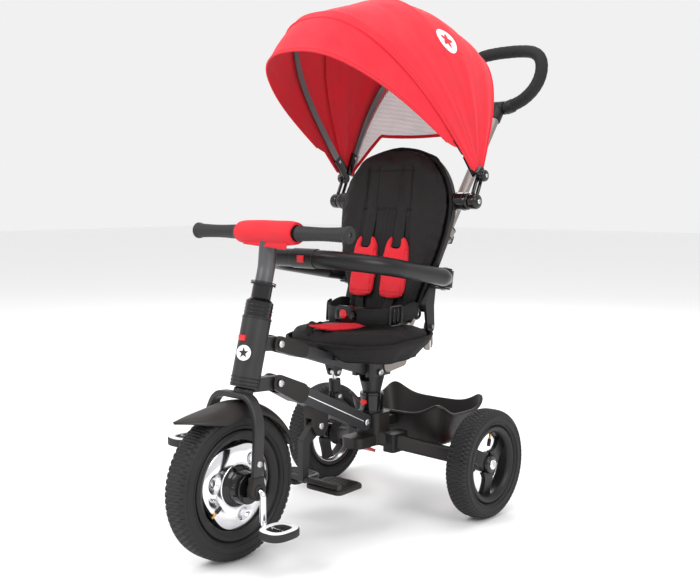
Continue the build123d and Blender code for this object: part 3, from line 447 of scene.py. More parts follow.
def skin(name, surface, rows, columns, thickness, material, body, slot, wrap=False):
    """A thin closed sheet. surface(u, v) is its outer face, u and v from 0 to 1, in metres."""
    outer = []
    for i in range(rows):
        for j in range(columns):
            v = j / columns if wrap else j / (columns - 1)
            outer.append(surface(i / (rows - 1), v))
    normals = []
    for i in range(rows):
        for j in range(columns):
            def point(a, b):
                a = min(max(a, 0), rows - 1)
                b = b % columns if wrap else min(max(b, 0), columns - 1)
                return outer[a * columns + b]
            normal = (point(i + 1, j) - point(i - 1, j)).cross(point(i, j + 1) - point(i, j - 1))
            normals.append(normal.normalized() if normal.length > 1e-12 else None)
    for index, normal in enumerate(normals):
        if normal is None:
            row = index // columns
            near = [normals[k] for k in range(row * columns, (row + 1) * columns) if normals[k]]
            normals[index] = near[len(near) // 2] if near else Vector((0, 0, 1))
    inner = [p - n * thickness for p, n in zip(outer, normals)]
    faces = ring_faces(rows, columns, False, wrap)
    offset = len(outer)
    faces += [tuple(offset + k for k in reversed(face)) for face in faces]
    if not wrap:
        for i in range(rows - 1):
            for j in (0, columns - 1):
                a, b = i * columns + j, (i + 1) * columns + j
                faces.append((a, b, offset + b, offset + a))
    for i in (0, rows - 1):
        for j in range(columns if wrap else columns - 1):
            a, b = i * columns + j, i * columns + (j + 1) % columns
            faces.append((a, b, offset + b, offset + a))
    piece = new_piece(name, outer + inner, faces, material, body, slot)
    recalculate(piece)
    keep_edges(piece, 60)
    return piece


def bolt(name, point, axis, radius, height, material, body, slot, recess="hex"):
    """A domed bolt head with a socket."""
    r, h = radius, height
    profile = [(0, 0.01), (0, r), (h * 0.45, r), (h * 0.8, r * 0.86), (h, r * 0.6), (h, r * 0.48),
               (h * 0.4, r * 0.42), (h * 0.4, 0.01)]
    corners = 6 if recess == "hex" else 4

    def socket(angle, index):
        return r * 0.06 * cos(corners * angle) if index in (5, 6) else 0.0

    piece = lathe(name, profile, point, axis, material, body, slot, 36, socket)
    keep_edges(piece, 30)
    return piece


def puff(piece, voxel, pressure, cap, stiffness=8.0):
    """Swells a closed mesh as a stuffed cloth cover, then smooths it. No point moves past the cap."""
    scene = bpy.context.scene
    remesh = piece.modifiers.new("remesh", "REMESH")
    remesh.mode = "VOXEL"
    remesh.voxel_size = voxel
    apply_modifiers(piece)
    start = [v.co.copy() for v in piece.data.vertices]
    cloth = piece.modifiers.new("cloth", "CLOTH")
    settings = cloth.settings
    settings.use_pressure = True
    settings.uniform_pressure_force = pressure
    settings.quality = 4
    settings.mass = 0.3
    settings.tension_stiffness = stiffness
    settings.compression_stiffness = stiffness
    settings.shear_stiffness = stiffness * 0.6
    settings.bending_stiffness = 0.4
    settings.effector_weights.gravity = 0.0
    cloth.point_cache.frame_start = 1
    cloth.point_cache.frame_end = 20
    for number in range(1, 21):
        scene.frame_set(number)
    apply_modifiers(piece)
    scene.frame_set(1)
    for vertex, origin in zip(piece.data.vertices, start):
        move = vertex.co - origin
        if move.length > cap:
            vertex.co = origin + move.normalized() * cap
    smooth = piece.modifiers.new("smooth", "SMOOTH")
    smooth.factor = 0.5
    smooth.iterations = 3
    apply_modifiers(piece)


def apply_modifiers(piece):
    """Bakes what the modifiers make into the mesh."""
    graph = bpy.context.evaluated_depsgraph_get()
    baked = bpy.data.meshes.new_from_object(piece.evaluated_get(graph))
    piece.modifiers.clear()
    old = piece.data
    piece.data = baked
    bpy.data.meshes.remove(old)


def subdivide(piece, levels=1):
    modifier = piece.modifiers.new("subdivide", "SUBSURF")
    modifier.levels = modifier.render_levels = levels
    apply_modifiers(piece)


def press(piece, depth_at):
    """Moves each point inwards along its normal by depth_at(point), for seams and channels."""
    normals = [v.normal.copy() for v in piece.data.vertices]
    for vertex, normal in zip(piece.data.vertices, normals):
        vertex.co -= normal * depth_at(vertex.co)
    piece.data.update()


def near(value, centre, width):
    """1 at the centre, falling to 0 over the width."""
    return exp(-((value - centre) / width) ** 2)


def stitches(name, path, out, body, slot, material="webbing_black", pitch=0.006, length=0.0036):
    """A row of short raised threads along a path. out(point) is the surface's outward direction."""
    vertices, faces = [], []
    run, target = 0.0, pitch / 2
    for a, b in zip(path, path[1:]):
        step = (b - a).length
        while step > 0 and target <= run + step:
            centre = a.lerp(b, (target - run) / step)
            ahead = (b - a).normalized() * length / 2
            up = out(centre).normalized()
            side = ahead.cross(up).normalized() * 0.0005
            base = len(vertices)
            lift = up * 0.0005
            vertices += [centre - ahead - side, centre - ahead + side, centre + ahead + side,
                         centre + ahead - side, centre - ahead * 0.5 + lift, centre + ahead * 0.5 + lift]
            faces += [tuple(base + k for k in f) for f in
                      ((0, 4, 5, 3), (1, 2, 5, 4), (0, 1, 4), (3, 5, 2), (0, 3, 2, 1))]
            target += pitch
        run += step
    return new_piece(name, vertices, faces, material, body, slot, smooth=False)


# ---- wheels -------------------------------------------------------------------------------------
def tyre_section(radius, rim, width, count=34):
    """Squarish section of a tyre as (along, radius) pairs from bead to bead."""
    power = 3.2
    points = []
    middle_r, half_h, half_w = (radius + rim) / 2, (radius - rim) / 2, width / 2
    for i in range(count):
        angle = 2 * pi * i / count
        c, s = cos(angle), sin(angle)
        x = half_w * (abs(c) ** (2 / power)) * (1 if c >= 0 else -1)
        r = middle_r + half_h * (abs(s) ** (2 / power)) * (1 if s >= 0 else -1)
        points.append((x, r))
    return points


def tyre(name, node, radius, rim, width, body):
    """A block-pattern tyre with ribs on its side walls."""
    centre = middle(node)
    points = tyre_section(radius - 1.6, rim, width)
    crown = radius - 9
    segments = 288

    def tread(angle, index):
        x, r = points[index]
        if r < crown:
            return 0.9 if abs(abs(r - (radius + rim) / 2)) < 1.6 else 0.0
        step = int(angle / (2 * pi) * segments + 0.5)
        lane = int((x / width + 0.5) * 6)
        block = (step + 2 * lane) % 4 > 0
        groove = abs(x) < width * 0.035
        return 1.6 if block and not groove else -0.9

    piece = lathe(name, points, centre, (1, 0, 0), "tyre_rubber", body, "tyre", segments, tread)
    keep_edges(piece, 28)
    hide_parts(node)
    for side in (-1, 1):
        for share, thick in ((0.25, 0.9), (0.62, 1.3)):
            ring_r = rim + (radius - rim) * share
            ridge_x = side * (width / 2 - 0.2)
            profile = [(ridge_x + thick * cos(a), ring_r + thick * 1.5 * sin(a))
                       for a in [2 * pi * k / 10 for k in range(10)]]
            lathe(f"{name}_ridge_{'l' if side > 0 else 'r'}_{int(share * 100)}", profile, centre,
                  (1, 0, 0), "tyre_rubber", body, "tyre", 96)


def front_wheel():
    radius, rim, width = 127.0, 92.0, 50.0
    tyre("front_tyre_tread", "front_tyre", radius, rim, width, "front_wheel")
    centre = FRONT_AXLE
    dish_r, hub_r = 79.0, 37.0
    ring = rounded([(-20, rim + 1), (20, rim + 1), (22, rim - 5), (15, dish_r - 3), (-15, dish_r - 3),
                    (-22, rim - 5)], 2.5)
    black = lathe("front_rim_ring", ring, centre, (1, 0, 0), "plastic_black", "front_wheel", "rim_silver", 120)
    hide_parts("front_rim")
    for side in (-1, 1):
        def dish(u, v):
            angle = 2 * pi * v
            lobe = 0.5 + 0.5 * cos(3 * (angle - 0.6))
            outer = dish_r - 9 * (1 - lobe) ** 2
            r = hub_r - 3 + (outer - hub_r + 3) * u
            share = (r - hub_r) / (dish_r - hub_r)
            x = 17.5 - 5.5 * (share - 0.25) ** 2 * 2 - 7.0 * max(0.0, u - 0.9) / 0.1
            pocket = near(((3 * (angle + 0.25)) % (2 * pi)) - pi, 0, 0.62) * near(share, 0.36, 0.20)
            wave = 1.8 * lobe * sin(pi * min(1.0, max(0.0, share)))
            x += wave - 6.5 * min(1.0, pocket * 1.5)
            return centre + Vector((side * x * MM, r * cos(angle) * MM, r * sin(angle) * MM))
        label = "left" if side > 0 else "right"
        skin(f"front_dish_{label}", dish, 40, 180, side * 0.0012, "chrome", "front_wheel", "rim_silver", True)
        lip = [(side * (16.5 + 1.6 * cos(a)), hub_r + 1.6 * sin(a)) for a in [2 * pi * k / 12 for k in range(12)]]
        lathe(f"front_dish_lip_{label}", lip, centre, (1, 0, 0), "chrome", "front_wheel", "rim_silver", 96)
    hub = rounded([(-46, 5.8), (46, 5.8), (46, 26), (24, 27.5), (20, 33), (17, 35.5), (-17, 35.5),
                   (-20, 33), (-24, 27.5), (-46, 26)], 1.8)
    piece = lathe("front_hub_barrel", hub, centre, (1, 0, 0), "plastic_gloss", "front_wheel", "hub_black", 96)
    keep_edges(piece)
    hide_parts("front_hub")
    valve("front_valve", centre, radians(215), 17, 48, 72, "front_wheel")


def valve(name, centre, angle, x, low, high, body):
    """A brass valve stem with a black cap, pointing at the hub."""
    out = Vector((0, cos(angle), sin(angle)))
    foot = centre + Vector((x * MM, 0, 0)) + out * high * MM
    length = high - low
    stem = [(0, 0.01), (0, 2.4), (length * 0.6, 2.4), (length * 0.6, 0.01)]
    lathe(name + "_stem", stem, foot, -out, "brass", body, "steel", 24)
    cap = rounded([(length * 0.5, 0.01), (length * 0.5, 3.8), (length, 3.4), (length, 0.01)], 0.8, 2)
    lathe(name + "_cap", cap, foot, -out, "plastic_black", body, "hub_black", 24)


def rear_wheel(side, label):
    body, node = "rear_wheel_" + label, "rear_tyre_" + label
    radius, rim, width = 103.0, 72.5, 46.0
    tyre("rear_tread_" + label, node, radius, rim, width, body)
    centre = middle(node)
    barrel = rounded([(-17, rim + 1), (17, rim + 1), (19.5, rim - 3), (17, rim - 9), (11, rim - 13.5),
                      (-11, rim - 13.5), (-17, rim - 9), (-19.5, rim - 3)], 2.5)
    piece = lathe("rear_rim_barrel_" + label, barrel, centre, (1, 0, 0), "plastic_black", body, "hub_black", 120)
    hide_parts("rear_rim_" + label)
    liner = rounded([(-side * 8, rim - 13), (-side * 17.4, rim - 8), (-side * 18.2, rim - 10),
                     (-side * 9, rim - 15)], 0.6, 2)
    lathe("rear_rim_liner_" + label, liner, centre, (1, 0, 0), "rim_silver", body, "rim_silver", 96)
    hub = rounded([(-side * 17, 6.3), (-side * 17, 17), (side * 9, 19), (side * 16, 16), (side * 17, 6.3)], 2)
    lathe("rear_hub_" + label, hub, centre, (1, 0, 0), "plastic_gloss", body, "hub_black", 72)
    for turn in range(3):
        angle = radians(120 * turn + 30)
        out, turnwise = Vector((0, cos(angle), sin(angle))), Vector((0, -sin(angle), cos(angle)))
        path = [centre + out * r * MM + Vector((side * x * MM, 0, 0))
                for r, x in ((14, 5), (24, 6), (36, 4), (48, 1), (58, -1), (rim - 12, -1))]

        def spoke(share):
            half = (12.5 + 7 * (2 * share - 1) ** 2) * MM
            return strip(2 * half, 9 * MM)
        blade = sweep(f"rear_spoke_{label}_{turn}", catmull(path, 5), spoke, turnwise, "plastic_black", body,
                      "hub_black")
        keep_edges(blade, 50)
    cap = rounded([(side * 16, 0.01), (side * 16, 10.5), (side * 19.4, 10), (side * 21, 7), (side * 21, 0.01)], 1.4)
    axle_cap = lathe("rear_axle_cap_" + label, cap, centre, (1, 0, 0), "chrome", body, "chrome", 48)
    keep_edges(axle_cap, 50)
    bolt("rear_axle_bolt_" + label, centre + Vector((side * 21 * MM, 0, 0)), (side, 0, 0), 5.2, 1.2, "steel",
         body, "steel")
    valve("rear_valve_" + label, centre, radians(75), side * 2, 32, 60, body)


def pedals():
    for label in ("left", "right"):
        node = "pedal_" + label
        low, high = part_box(node)
        centre = (low + high) / 2
        half_x, half_y = (high.x - low.x) / 2 / MM, (high.y - low.y) / 2 / MM
        height = (high.z - low.z) / 2 / MM
        outline = [(half_x * (abs(cos(a)) ** 0.72) * (1 if cos(a) >= 0 else -1),
                    half_y * (abs(sin(a)) ** 0.72) * (1 if sin(a) >= 0 else -1))
                   for a in [2 * pi * k / 64 for k in range(64)]]

        def hoop(name, outer, inner, low_z, high_z, material):
            rows = [(outer, low_z + 1.2), (outer * 1.0, high_z - 1.2), (outer - 0.03, high_z),
                    (inner + 0.03, high_z), (inner, high_z - 1.0), (inner, low_z + 1.0),
                    (inner + 0.03, low_z), (outer - 0.03, low_z)]
            vertices = [centre + Vector((p[0] * share * MM, p[1] * share * MM, z * MM))
                        for p in outline for share, z in rows]
            ring = new_piece(f"{name}_{label}", vertices, ring_faces(64, len(rows), True, True), material,
                             node, "pedal_black")
            recalculate(ring)
            keep_edges(ring)
            return ring
        body_ring = hoop("pedal_rubber", 1.0, 0.52, -height, height - 1.6, "grip_rubber")
        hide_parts(node)
        hoop("pedal_top", 0.94, 0.62, height - 2.0, height, "pedal_white")
        hoop("pedal_bottom", 0.94, 0.62, -height, -height + 0.4, "pedal_white")
        teeth = [(half_x * (0.50 + 0.045 * (k % 2)) * cos(2 * pi * k / 48),
                  half_y * (0.50 + 0.045 * (k % 2)) * sin(2 * pi * k / 48)) for k in range(48)]
        plate("pedal_core_" + label, teeth, centre, (0, 0, 1), -height + 2, height - 2.6, 0.6,
              "plastic_black", node, "pedal_black")
        for k in range(7):
            y = (k - 3) * half_y * 0.13
            rib = [(-half_x * 0.36, y - 1.2), (half_x * 0.36, y - 1.2), (half_x * 0.36, y + 1.2),
                   (-half_x * 0.36, y + 1.2)]
            plate(f"pedal_tread_{label}_{k}", rib, centre, (0, 0, 1), height - 3, height - 1.4, 0.5,
                  "plastic_black", node, "pedal_black")


# ---- steering and head --------------------------------------------------------------------------
def steer_axis():
    return Vector(JOINTS["steering"]["axis"]).normalized()


def on_steering(along):
    return pivot("steering") + steer_axis() * along * MM


def fork_blades():
    """One bent bar from end to end over the wheel, with soft corners."""
    lean = radians(-3.8)
    foot = FRONT_AXLE
    half = [(0, 150), (20, 150), (33, 148.5), (44, 141), (52, 128), (57.5, 112), (60, 92), (60, 60), (60, 20),
            (60, -9)]
    points = [(-x, h) for x, h in reversed(half)] + half[1:]
    tilt = Vector((0, -sin(lean), cos(lean)))
    path = catmull([foot + Vector((x * MM, 0, 0)) + tilt * h * MM for x, h in points], 8)
    shape = [(a * MM, b * MM) for a, b in rounded([(-10.5, -4.9), (10.5, -4.9), (10.5, 4.9), (-10.5, 4.9)], 3.4, 5)]
    blades = sweep("fork_blades", path, lambda share: shape, Vector((0, cos(lean), sin(lean))), "paint_dark",
                   "steering", "frame_grey")
    keep_edges(blades, 50)
    crown = rounded([(146, 0.01), (146, 15.5), (151, 17), (160, 17), (163.4, 15.6), (163.4, 0.01)], 1.6, 4)
    piece = lathe("fork_crown", crown, pivot("steering"), steer_axis(), "paint_dark", "steering", "frame_grey", 64)
    keep_edges(piece, 50)
    column = [(162, 0.01), (162, 13.9), (305, 13.9), (305, 0.01)]
    lathe("fork_column", column, pivot("steering"), steer_axis(), "paint_dark", "steering", "frame_grey", 64)
    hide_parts("fork")


def fork_and_fender():
    fork_blades()
    for side, label in ((1, "left"), (-1, "right")):
        low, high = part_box("fork_caps")
        y = FRONT_AXLE.y
        centre = Vector((0, y, FRONT_AXLE.z))
        outline = circle(16.5, count=28)
        outline = [p for p in outline if p[1] < 8] + [(12.8, 14), (11.5, 23), (-11.5, 23), (-12.8, 14)]
        outline.sort(key=lambda p: atan2(p[1] - 4, p[0]))
        cap = plate("fork_end_" + label, outline, centre, (1, 0, 0), *sorted((side * 52.8, side * 67.4)), 3.0,
                    "plastic_brown_black", "steering", "black_plastic")
        boss = rounded([(side * 60, 5.8), (side * 60, 11.5), (side * 70, 10.5), (side * 70, 5.8)], 1.6)
        lathe("fork_end_boss_" + label, boss, centre, (1, 0, 0), "plastic_black", "steering", "black_plastic", 40)
        bolt("fork_bolt_" + label, at(side * 65, -457.4, 171), (side, 0, 0), 5.4, 3.0, "steel", "steering", "steel")
    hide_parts("fork_caps")
    fender()
    for along, radius in ((290.5, 23.8), (296, 23.8), (303, 23.8), (343.5, 21.6)):
        torus = [(along + 0.8 * cos(a), radius + 0.7 * sin(a)) for a in [2 * pi * k / 8 for k in range(8)]]
        lathe(f"collar_line_{int(along)}", torus, pivot("steering"), steer_axis(), "plastic_gloss", "steering",
              "gloss_black", 60)


def fender():
    """A mudguard with a rolled section that narrows to a beak in front."""
    radius, half_width = 141.0, 35.0
    rear, front, nose = radians(18), radians(100), 97.0

    def spine(share):
        """(y, z) and outward direction along the middle of the mudguard."""
        arc = radius * (front - rear)
        run = share * (arc + nose)
        if run < arc:
            angle = rear + run / radius
            return radius * cos(angle), radius * sin(angle), cos(angle), sin(angle)
        over = run - arc
        y, z = radius * cos(front), radius * sin(front)
        return (y - sin(front) * over, z + cos(front) * over + 0.0002 * over * over * 2.0,
                cos(front), sin(front))

    def surface(u, v):
        y, z, out_y, out_z = spine(u)
        tip = min(1.0, (1 - u) / 0.34)
        width = half_width * (1 - (1 - tip) ** 2.4) * (0.86 + 0.14 * min(1, u / 0.12)) + 0.4
        t = 2 * v - 1
        drop = (19 + 7 * sin(pi * min(1, max(0, (u - 0.45) / 0.5)))) * (0.25 + 0.75 * min(1, tip * 1.3))
        angle = t * radians(86)
        x = width * sin(angle) / sin(radians(86))
        down = drop * (1 - cos(angle)) / (1 - cos(radians(86)))
        return FRONT_AXLE + Vector((x, (y - out_y * down), (z - out_z * down))) * MM
    piece = skin("mudguard", surface, 90, 33, 0.0024, "plastic_brown_black", "steering", "black_plastic")
    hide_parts("fender")


def grips():
    low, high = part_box("grips")
    bar_y, bar_z = (low.y + high.y) / 2, (low.z + high.z) / 2
    end = high.x / MM
    inner = end - 112
    for side, label in ((1, "left"), (-1, "right")):
        profile = [(inner, 9.7), (inner, 13.4), (inner + 3, 14.2), (inner + 6, 13.4), (inner + 8, 12.2)]
        steps = 26
        for k in range(steps + 1):
            x = inner + 12 + (end - 24 - inner) * k / steps
            waist = 12.2 - 1.3 * sin(pi * k / steps)
            profile.append((x, waist + (0.5 if k % 2 else 0.0)))
        profile += [(end - 9, 12.6), (end - 6, 14.2), (end - 1.6, 14.4), (end, 13.2), (end, 4.2), (end - 5, 4.0),
                    (end - 5, 0.01), (end - 7, 0.01), (end - 7, 9.7)]
        if side < 0:
            profile = [(-x, r) for x, r in profile]
        piece = lathe("grip_" + label, profile, Vector((0, bar_y, bar_z)), (1, 0, 0), "grip_rubber",
                      "steering", "grip_rubber", 64)
        keep_edges(piece, 45)
    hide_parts("grips")


def bar_cover():
    """A padded sleeve that is wrapped round the bar and closed with a flap behind."""
    low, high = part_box("bar_cover")
    centre = (low + high) / 2
    half = (high.x - low.x) / 2

    def surface(u, v):
        angle = 2 * pi * v
        x = (2 * u - 1) * half
        ends = 1 - 0.16 * abs(2 * u - 1) ** 6
        wrinkle = 1 + 0.012 * sin(4.3 * u * pi + 2 * sin(angle)) + 0.03 * noise.noise(Vector((x * 18, sin(angle), 1)))
        radius = 0.0166 * ends * wrinkle
        flat = 1 + 0.10 * cos(2 * angle)
        return centre + Vector((x, radius * flat * cos(angle), radius * sin(angle)))
    piece = skin("bar_pad", surface, 60, 48, 0.0045, "pad_red", "steering", "fabric_red", True)
    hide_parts("bar_cover")
    path = [centre + Vector((x * MM, -0.013, -0.0125 - 0.00004 * (x + 46))) for x in (-46, -20, 8, 30, 56)]
    flap_path = catmull(path, 8)

    def flap_section(share):
        return strip(0.016 + 0.006 * share, 0.0022)
    sweep("bar_pad_flap", flap_path, flap_section, Vector((0, 0.35, 1)), "pad_red", "steering", "fabric_red")
    for offset, name in ((half * 0.93, "left"), (-half * 0.93, "right")):
        ring = [centre + Vector((offset, 0.0166 * cos(a), 0.0156 * sin(a))) for a in
                [2 * pi * k / 60 for k in range(61)]]
        stitches("bar_pad_stitch_" + name, ring, lambda p: p - centre - Vector((offset, 0, 0)), "steering",
                 "fabric_red", "binding_red")
    star_badge("bar_badge", centre + Vector((0, -0.0185, 0.004)), Vector((0, -1, 0.25)), Vector((1, 0, 0)),
               8.0, "steering", "fabric_red")


def star_badge(name, centre, out, right, size, body, slot, disc="white_print", star="pad_red"):
    """A plain round badge with a five-pointed star, which is nobody's mark."""
    out = out.normalized()
    right = (right - out * right.dot(out)).normalized()
    up = out.cross(right)
    for label, points, lift, material in (
            ("disc", circle(size, count=48), 0.0, disc),
            ("star", [((0.72 if k % 2 == 0 else 0.30) * size * sin(pi * k / 5),
                       (0.72 if k % 2 == 0 else 0.30) * size * cos(pi * k / 5)) for k in range(10)], 0.0005, star)):
        count = len(points)
        vertices = []
        for height in (lift - 0.0012, lift + 0.0004):
            vertices += [centre + right * x * MM + up * y * MM + out * height for x, y in points]
        top, bottom = len(vertices), len(vertices) + 1
        vertices += [centre + out * (lift + 0.0004), centre + out * (lift - 0.0012)]
        faces = ring_faces(2, count)
        faces += [(count + i, count + (i + 1) % count, top) for i in range(count)]
        faces += [((i + 1) % count, i, bottom) for i in range(count)]
        piece = new_piece(f"{name}_{label}", vertices, faces, material, body, slot, smooth=False)
        recalculate(piece)


def head_details():
    for along in (168.0, 174.0, 180.0):
        torus = [(along + 1.2 * cos(a), 24.6 + 0.9 * sin(a)) for a in [2 * pi * k / 8 for k in range(8)]]
        lathe(f"head_ring_{int(along)}", torus, pivot("steering"), steer_axis(), "plastic_black", "head",
              "black_plastic", 60)
    torus = [(281.5 + 1.2 * cos(a), 24.6 + 0.9 * sin(a)) for a in [2 * pi * k / 8 for k in range(8)]]
    lathe("head_ring_top", torus, pivot("steering"), steer_axis(), "plastic_black", "head", "black_plastic", 60)
    forward = Vector((0.35, -1, 0.2))
    front = on_steering(222) + forward.normalized() * 0.0252
    star_badge("head_badge", front, forward, Vector((1, 0.35, 0)), 13.0, "head", "cast_grey", "white_print",
               "paint_dark")


# ---- frame details ------------------------------------------------------------------------------
def frame_details():
    for side, label in ((1, "left"), (-1, "right")):
        for joint, body, name in (("head_fold", "lower_tube", "head_lower"),
                                  ("upper_tube_fold", "rear_frame", "rear_upper"),
                                  ("frame_fold", "rear_frame", "rear_lower")):
            reach = {"head_lower": 17.0, "rear_upper": 28.0, "rear_lower": 16.0}[name]
            bolt(f"bolt_{name}_{label}", pivot(joint) + Vector((side * reach * MM, 0, 0)), (side, 0, 0), 6.5,
                 3.0, "steel", body, "steel")
        bolt("bolt_head_upper_" + label, at(side * 17.0, -356, 352), (side, 0, 0), 6.5, 3.0, "steel",
             "upper_tube", "steel")
        bolt("bolt_footrest_" + label, pivot("footrest_fold") + Vector((side * 13 * MM, 0, 0)), (side, 0, 0), 6.0,
             2.6, "steel", "lower_tube", "steel")
        bolt("bolt_strut_top_" + label, pivot("strut_rod_pivot") + Vector((side * 11 * MM, 0, 0)), (side, 0, 0),
             4.6, 2.4, "steel", "upper_tube", "steel")
        bolt("bolt_strut_low_" + label, pivot("strut_sleeve_pivot") + Vector((side * 11 * MM, 0, 0)),
             (side, 0, 0), 4.6, 2.4, "steel", "lower_tube", "steel")
        pinstripe(side, label)
        for k, (y, z) in enumerate(((-64, 292), (-46, 294))):
            bolt(f"bracket_screw_{label}_{k}", at(side * 28.4, y, z), (side, 0, 0), 3.6, 2.0, "steel",
                 "rear_frame", "steel", "cross")
    for z in (193.0, 224.0):
        ring = [(z + 0.9 * cos(a), 22.6 + 0.7 * sin(a)) for a in [2 * pi * k / 8 for k in range(8)]]
        lathe(f"post_ring_{int(z)}", ring, at(0, -93, 0), (0, 0, 1), "plastic_black", "rear_frame",
              "black_plastic", 60)


def pinstripe(side, label):
    """A white line along the side of the lower tube."""
    low, high = pivot("head_fold"), pivot("frame_fold")
    start, end = low.lerp(high, 0.27), low.lerp(high, 0.97)
    x = side * 14.15 * MM
    path = [Vector((x, 0, 0)) + Vector((0, p.y, p.z)) for p in (start, start.lerp(end, 0.5), end)]
    sweep("pinstripe_" + label, path, lambda share: strip(0.0017, 0.0005), Vector((0, 0.42, 0.9)), "white_print",
          "lower_tube", "frame_grey")


def footrest():
    low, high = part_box("foot_plates")
    mid_y = (low.y + high.y) / 2
    depth = (high.y - low.y) / MM
    width = high.x / MM - 10
    for side, label in ((1, "left"), (-1, "right")):
        outline = rounded([(-width / 2, -depth / 2), (width / 2, -depth / 2), (width / 2 - 3, depth / 2 - 8),
                           (width / 2 - 16, depth / 2), (-width / 2 + 14, depth / 2), (-width / 2, depth / 2 - 14)],
                          13, 6)
        centre = Vector((side * (10 + width / 2) * MM, mid_y, low.z))
        piece = plate("foot_plate_" + label, outline, centre, (0, 0, 1), 0, 8.2, 2.4, "plastic_brown_black",
                      "footrest", "black_plastic")
        for k in range(9):
            y = (k - 4) * depth * 0.092
            half = width / 2 - 10 - (3 if abs(k - 4) > 3 else 0)
            rib = rounded([(-half, y - 1.5), (half, y - 1.5), (half, y + 1.5), (-half, y + 1.5)], 1.4, 3)
            plate(f"foot_rib_{label}_{k}", rib, centre, (0, 0, 1), 7.4, 9.4, 0.7, "plastic_brown_black",
                  "footrest", "black_plastic")
    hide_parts("foot_plates")


# ---- basket and brakes --------------------------------------------------------------------------
def basket():
    low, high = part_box("basket")
    centre = (low + high) / 2
    half_x, half_y = (high.x - low.x) / 2, (high.y - low.y) / 2
    floor, rim = low.z, high.z
    height = rim - floor

    def outline(angle, grow, power):
        c, s = cos(angle), sin(angle)
        return (half_x * grow[0] * (abs(c) ** (2 / power)) * (1 if c >= 0 else -1),
                half_y * grow[1] * (abs(s) ** (2 / power)) * (1 if s >= 0 else -1))

    def surface(u, v):
        angle = 2 * pi * v
        c, s = abs(cos(angle)), abs(sin(angle))
        corner = (2 * c * s) ** 1.4
        top = height * (0.74 + 0.26 * corner)
        if u < 0.28:
            t = u / 0.28
            x, y = outline(angle, (0.79 * t, 0.72 * t), 6.0 - 2.5 * (1 - t))
            return Vector((centre.x + x, centre.y + y, floor + 0.0008 * t))
        if u < 0.9:
            t = (u - 0.28) / 0.62
            grow = 0.79 + 0.17 * t ** 0.8, 0.72 + 0.22 * t ** 0.8
            x, y = outline(angle, grow, 6.0)
            round_foot = 0.006 * (1 - t) ** 8
            return Vector((centre.x + x, centre.y + y, floor + top * t + round_foot * 0.1))
        t = (u - 0.9) / 0.1
        roll = sin(pi / 2 * t)
        x, y = outline(angle, (0.96 + 0.04 * roll, 0.94 + 0.06 * roll), 6.0)
        return Vector((centre.x + x, centre.y + y, floor + top - 0.004 * (1 - cos(pi / 2 * t))))
    piece = skin("basket_shell", surface, 54, 160, 0.0028, "plastic_brown_black", "rear_frame",
                 "black_plastic", True)
    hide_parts("basket")
    closed_floor = [(centre.x + x, centre.y + y) for x, y in
                    [outline(2 * pi * k / 60, (0.06, 0.06), 2) for k in range(60)]]
    plate("basket_floor_plug", [((x - centre.x) / MM, (y - centre.y) / MM) for x, y in closed_floor],
          Vector((centre.x, centre.y, floor)), (0, 0, 1), 0.2, 2.6, 0.3, "plastic_brown_black", "rear_frame",
          "black_plastic")
    for k in range(5):
        x = (k - 2) * half_x * 0.28 / MM
        rib = rounded([(x - 2, -half_y * 0.55 / MM), (x + 2, -half_y * 0.55 / MM),
                       (x + 2, half_y * 0.55 / MM), (x - 2, half_y * 0.55 / MM)], 1.8, 3)
        plate(f"basket_rib_{k}", rib, Vector((centre.x, centre.y, floor)), (0, 0, 1), 2.2, 4.4, 0.8,
              "plastic_brown_black", "rear_frame", "black_plastic")


def brake_pedals():
    for side, label in ((1, "left"), (-1, "right")):
        node, body = "brake_pedal_" + label, "brake_" + label
        frame["nodes"][node].data.materials.clear()
        frame["nodes"][node].data.materials.append(MATERIALS["pedal_red"])
        joint = pivot("brake_left_press" if side > 0 else "brake_right_lift")
        low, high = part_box(node)
        far = Vector((0, high.y, high.z if side > 0 else low.z))
        arm = Vector((0, far.y - joint.y, far.z - joint.z)).normalized()
        up = Vector((0, -arm.z, arm.y))
        for k in range(6):
            base = joint + arm * (0.016 + 0.006 * k)
            inner, outer = abs(low.x if side > 0 else high.x) + 0.004, 0.145
            if k < 1:
                inner = 0.139
            path = [Vector((side * inner, base.y, base.z)) + up * 0.0032,
                    Vector((side * outer, base.y, base.z)) + up * 0.0032]
            sweep(f"brake_ridge_{label}_{k}", path, lambda share: oval(0.0017, 0.0016, 10), arm, "pedal_red",
                  body, "button_red")
        housing = at(side * 172.4, 0, 103)
        lathe("brake_cover_" + label, rounded([(0, 0.01), (0, 21), (2.4, 19.5), (2.8, 8), (2.8, 0.01)], 0.8, 3),
              housing - Vector((side * 0.0006, 0, 0)), (side, 0, 0), "plastic_black", "rear_frame",
              "black_plastic", 48)


# ---- seat ---------------------------------------------------------------------------------------
SEAT_MIDDLE = (-131.5, 131.5, 111.5)      # middle y, half width and half length of the seat's plan
SEAT_TOP = 357.0


def seat_plan(angle, grow=0.0):
    """A point of the seat's rounded plan, grown outwards, in mm."""
    y0, half_x, half_y = SEAT_MIDDLE
    power = 2.9
    c, s = cos(angle), sin(angle)
    x = (half_x + grow) * (abs(c) ** (2 / power)) * (1 if c >= 0 else -1)
    y = (half_y + grow) * (abs(s) ** (2 / power)) * (1 if s >= 0 else -1)
    return x, y0 + y


def edge_height(y):
    """The seat's piping rises from the front to the back."""
    return 337.0 + 11.0 * min(1.0, max(0.0, (y + 243) / 190))


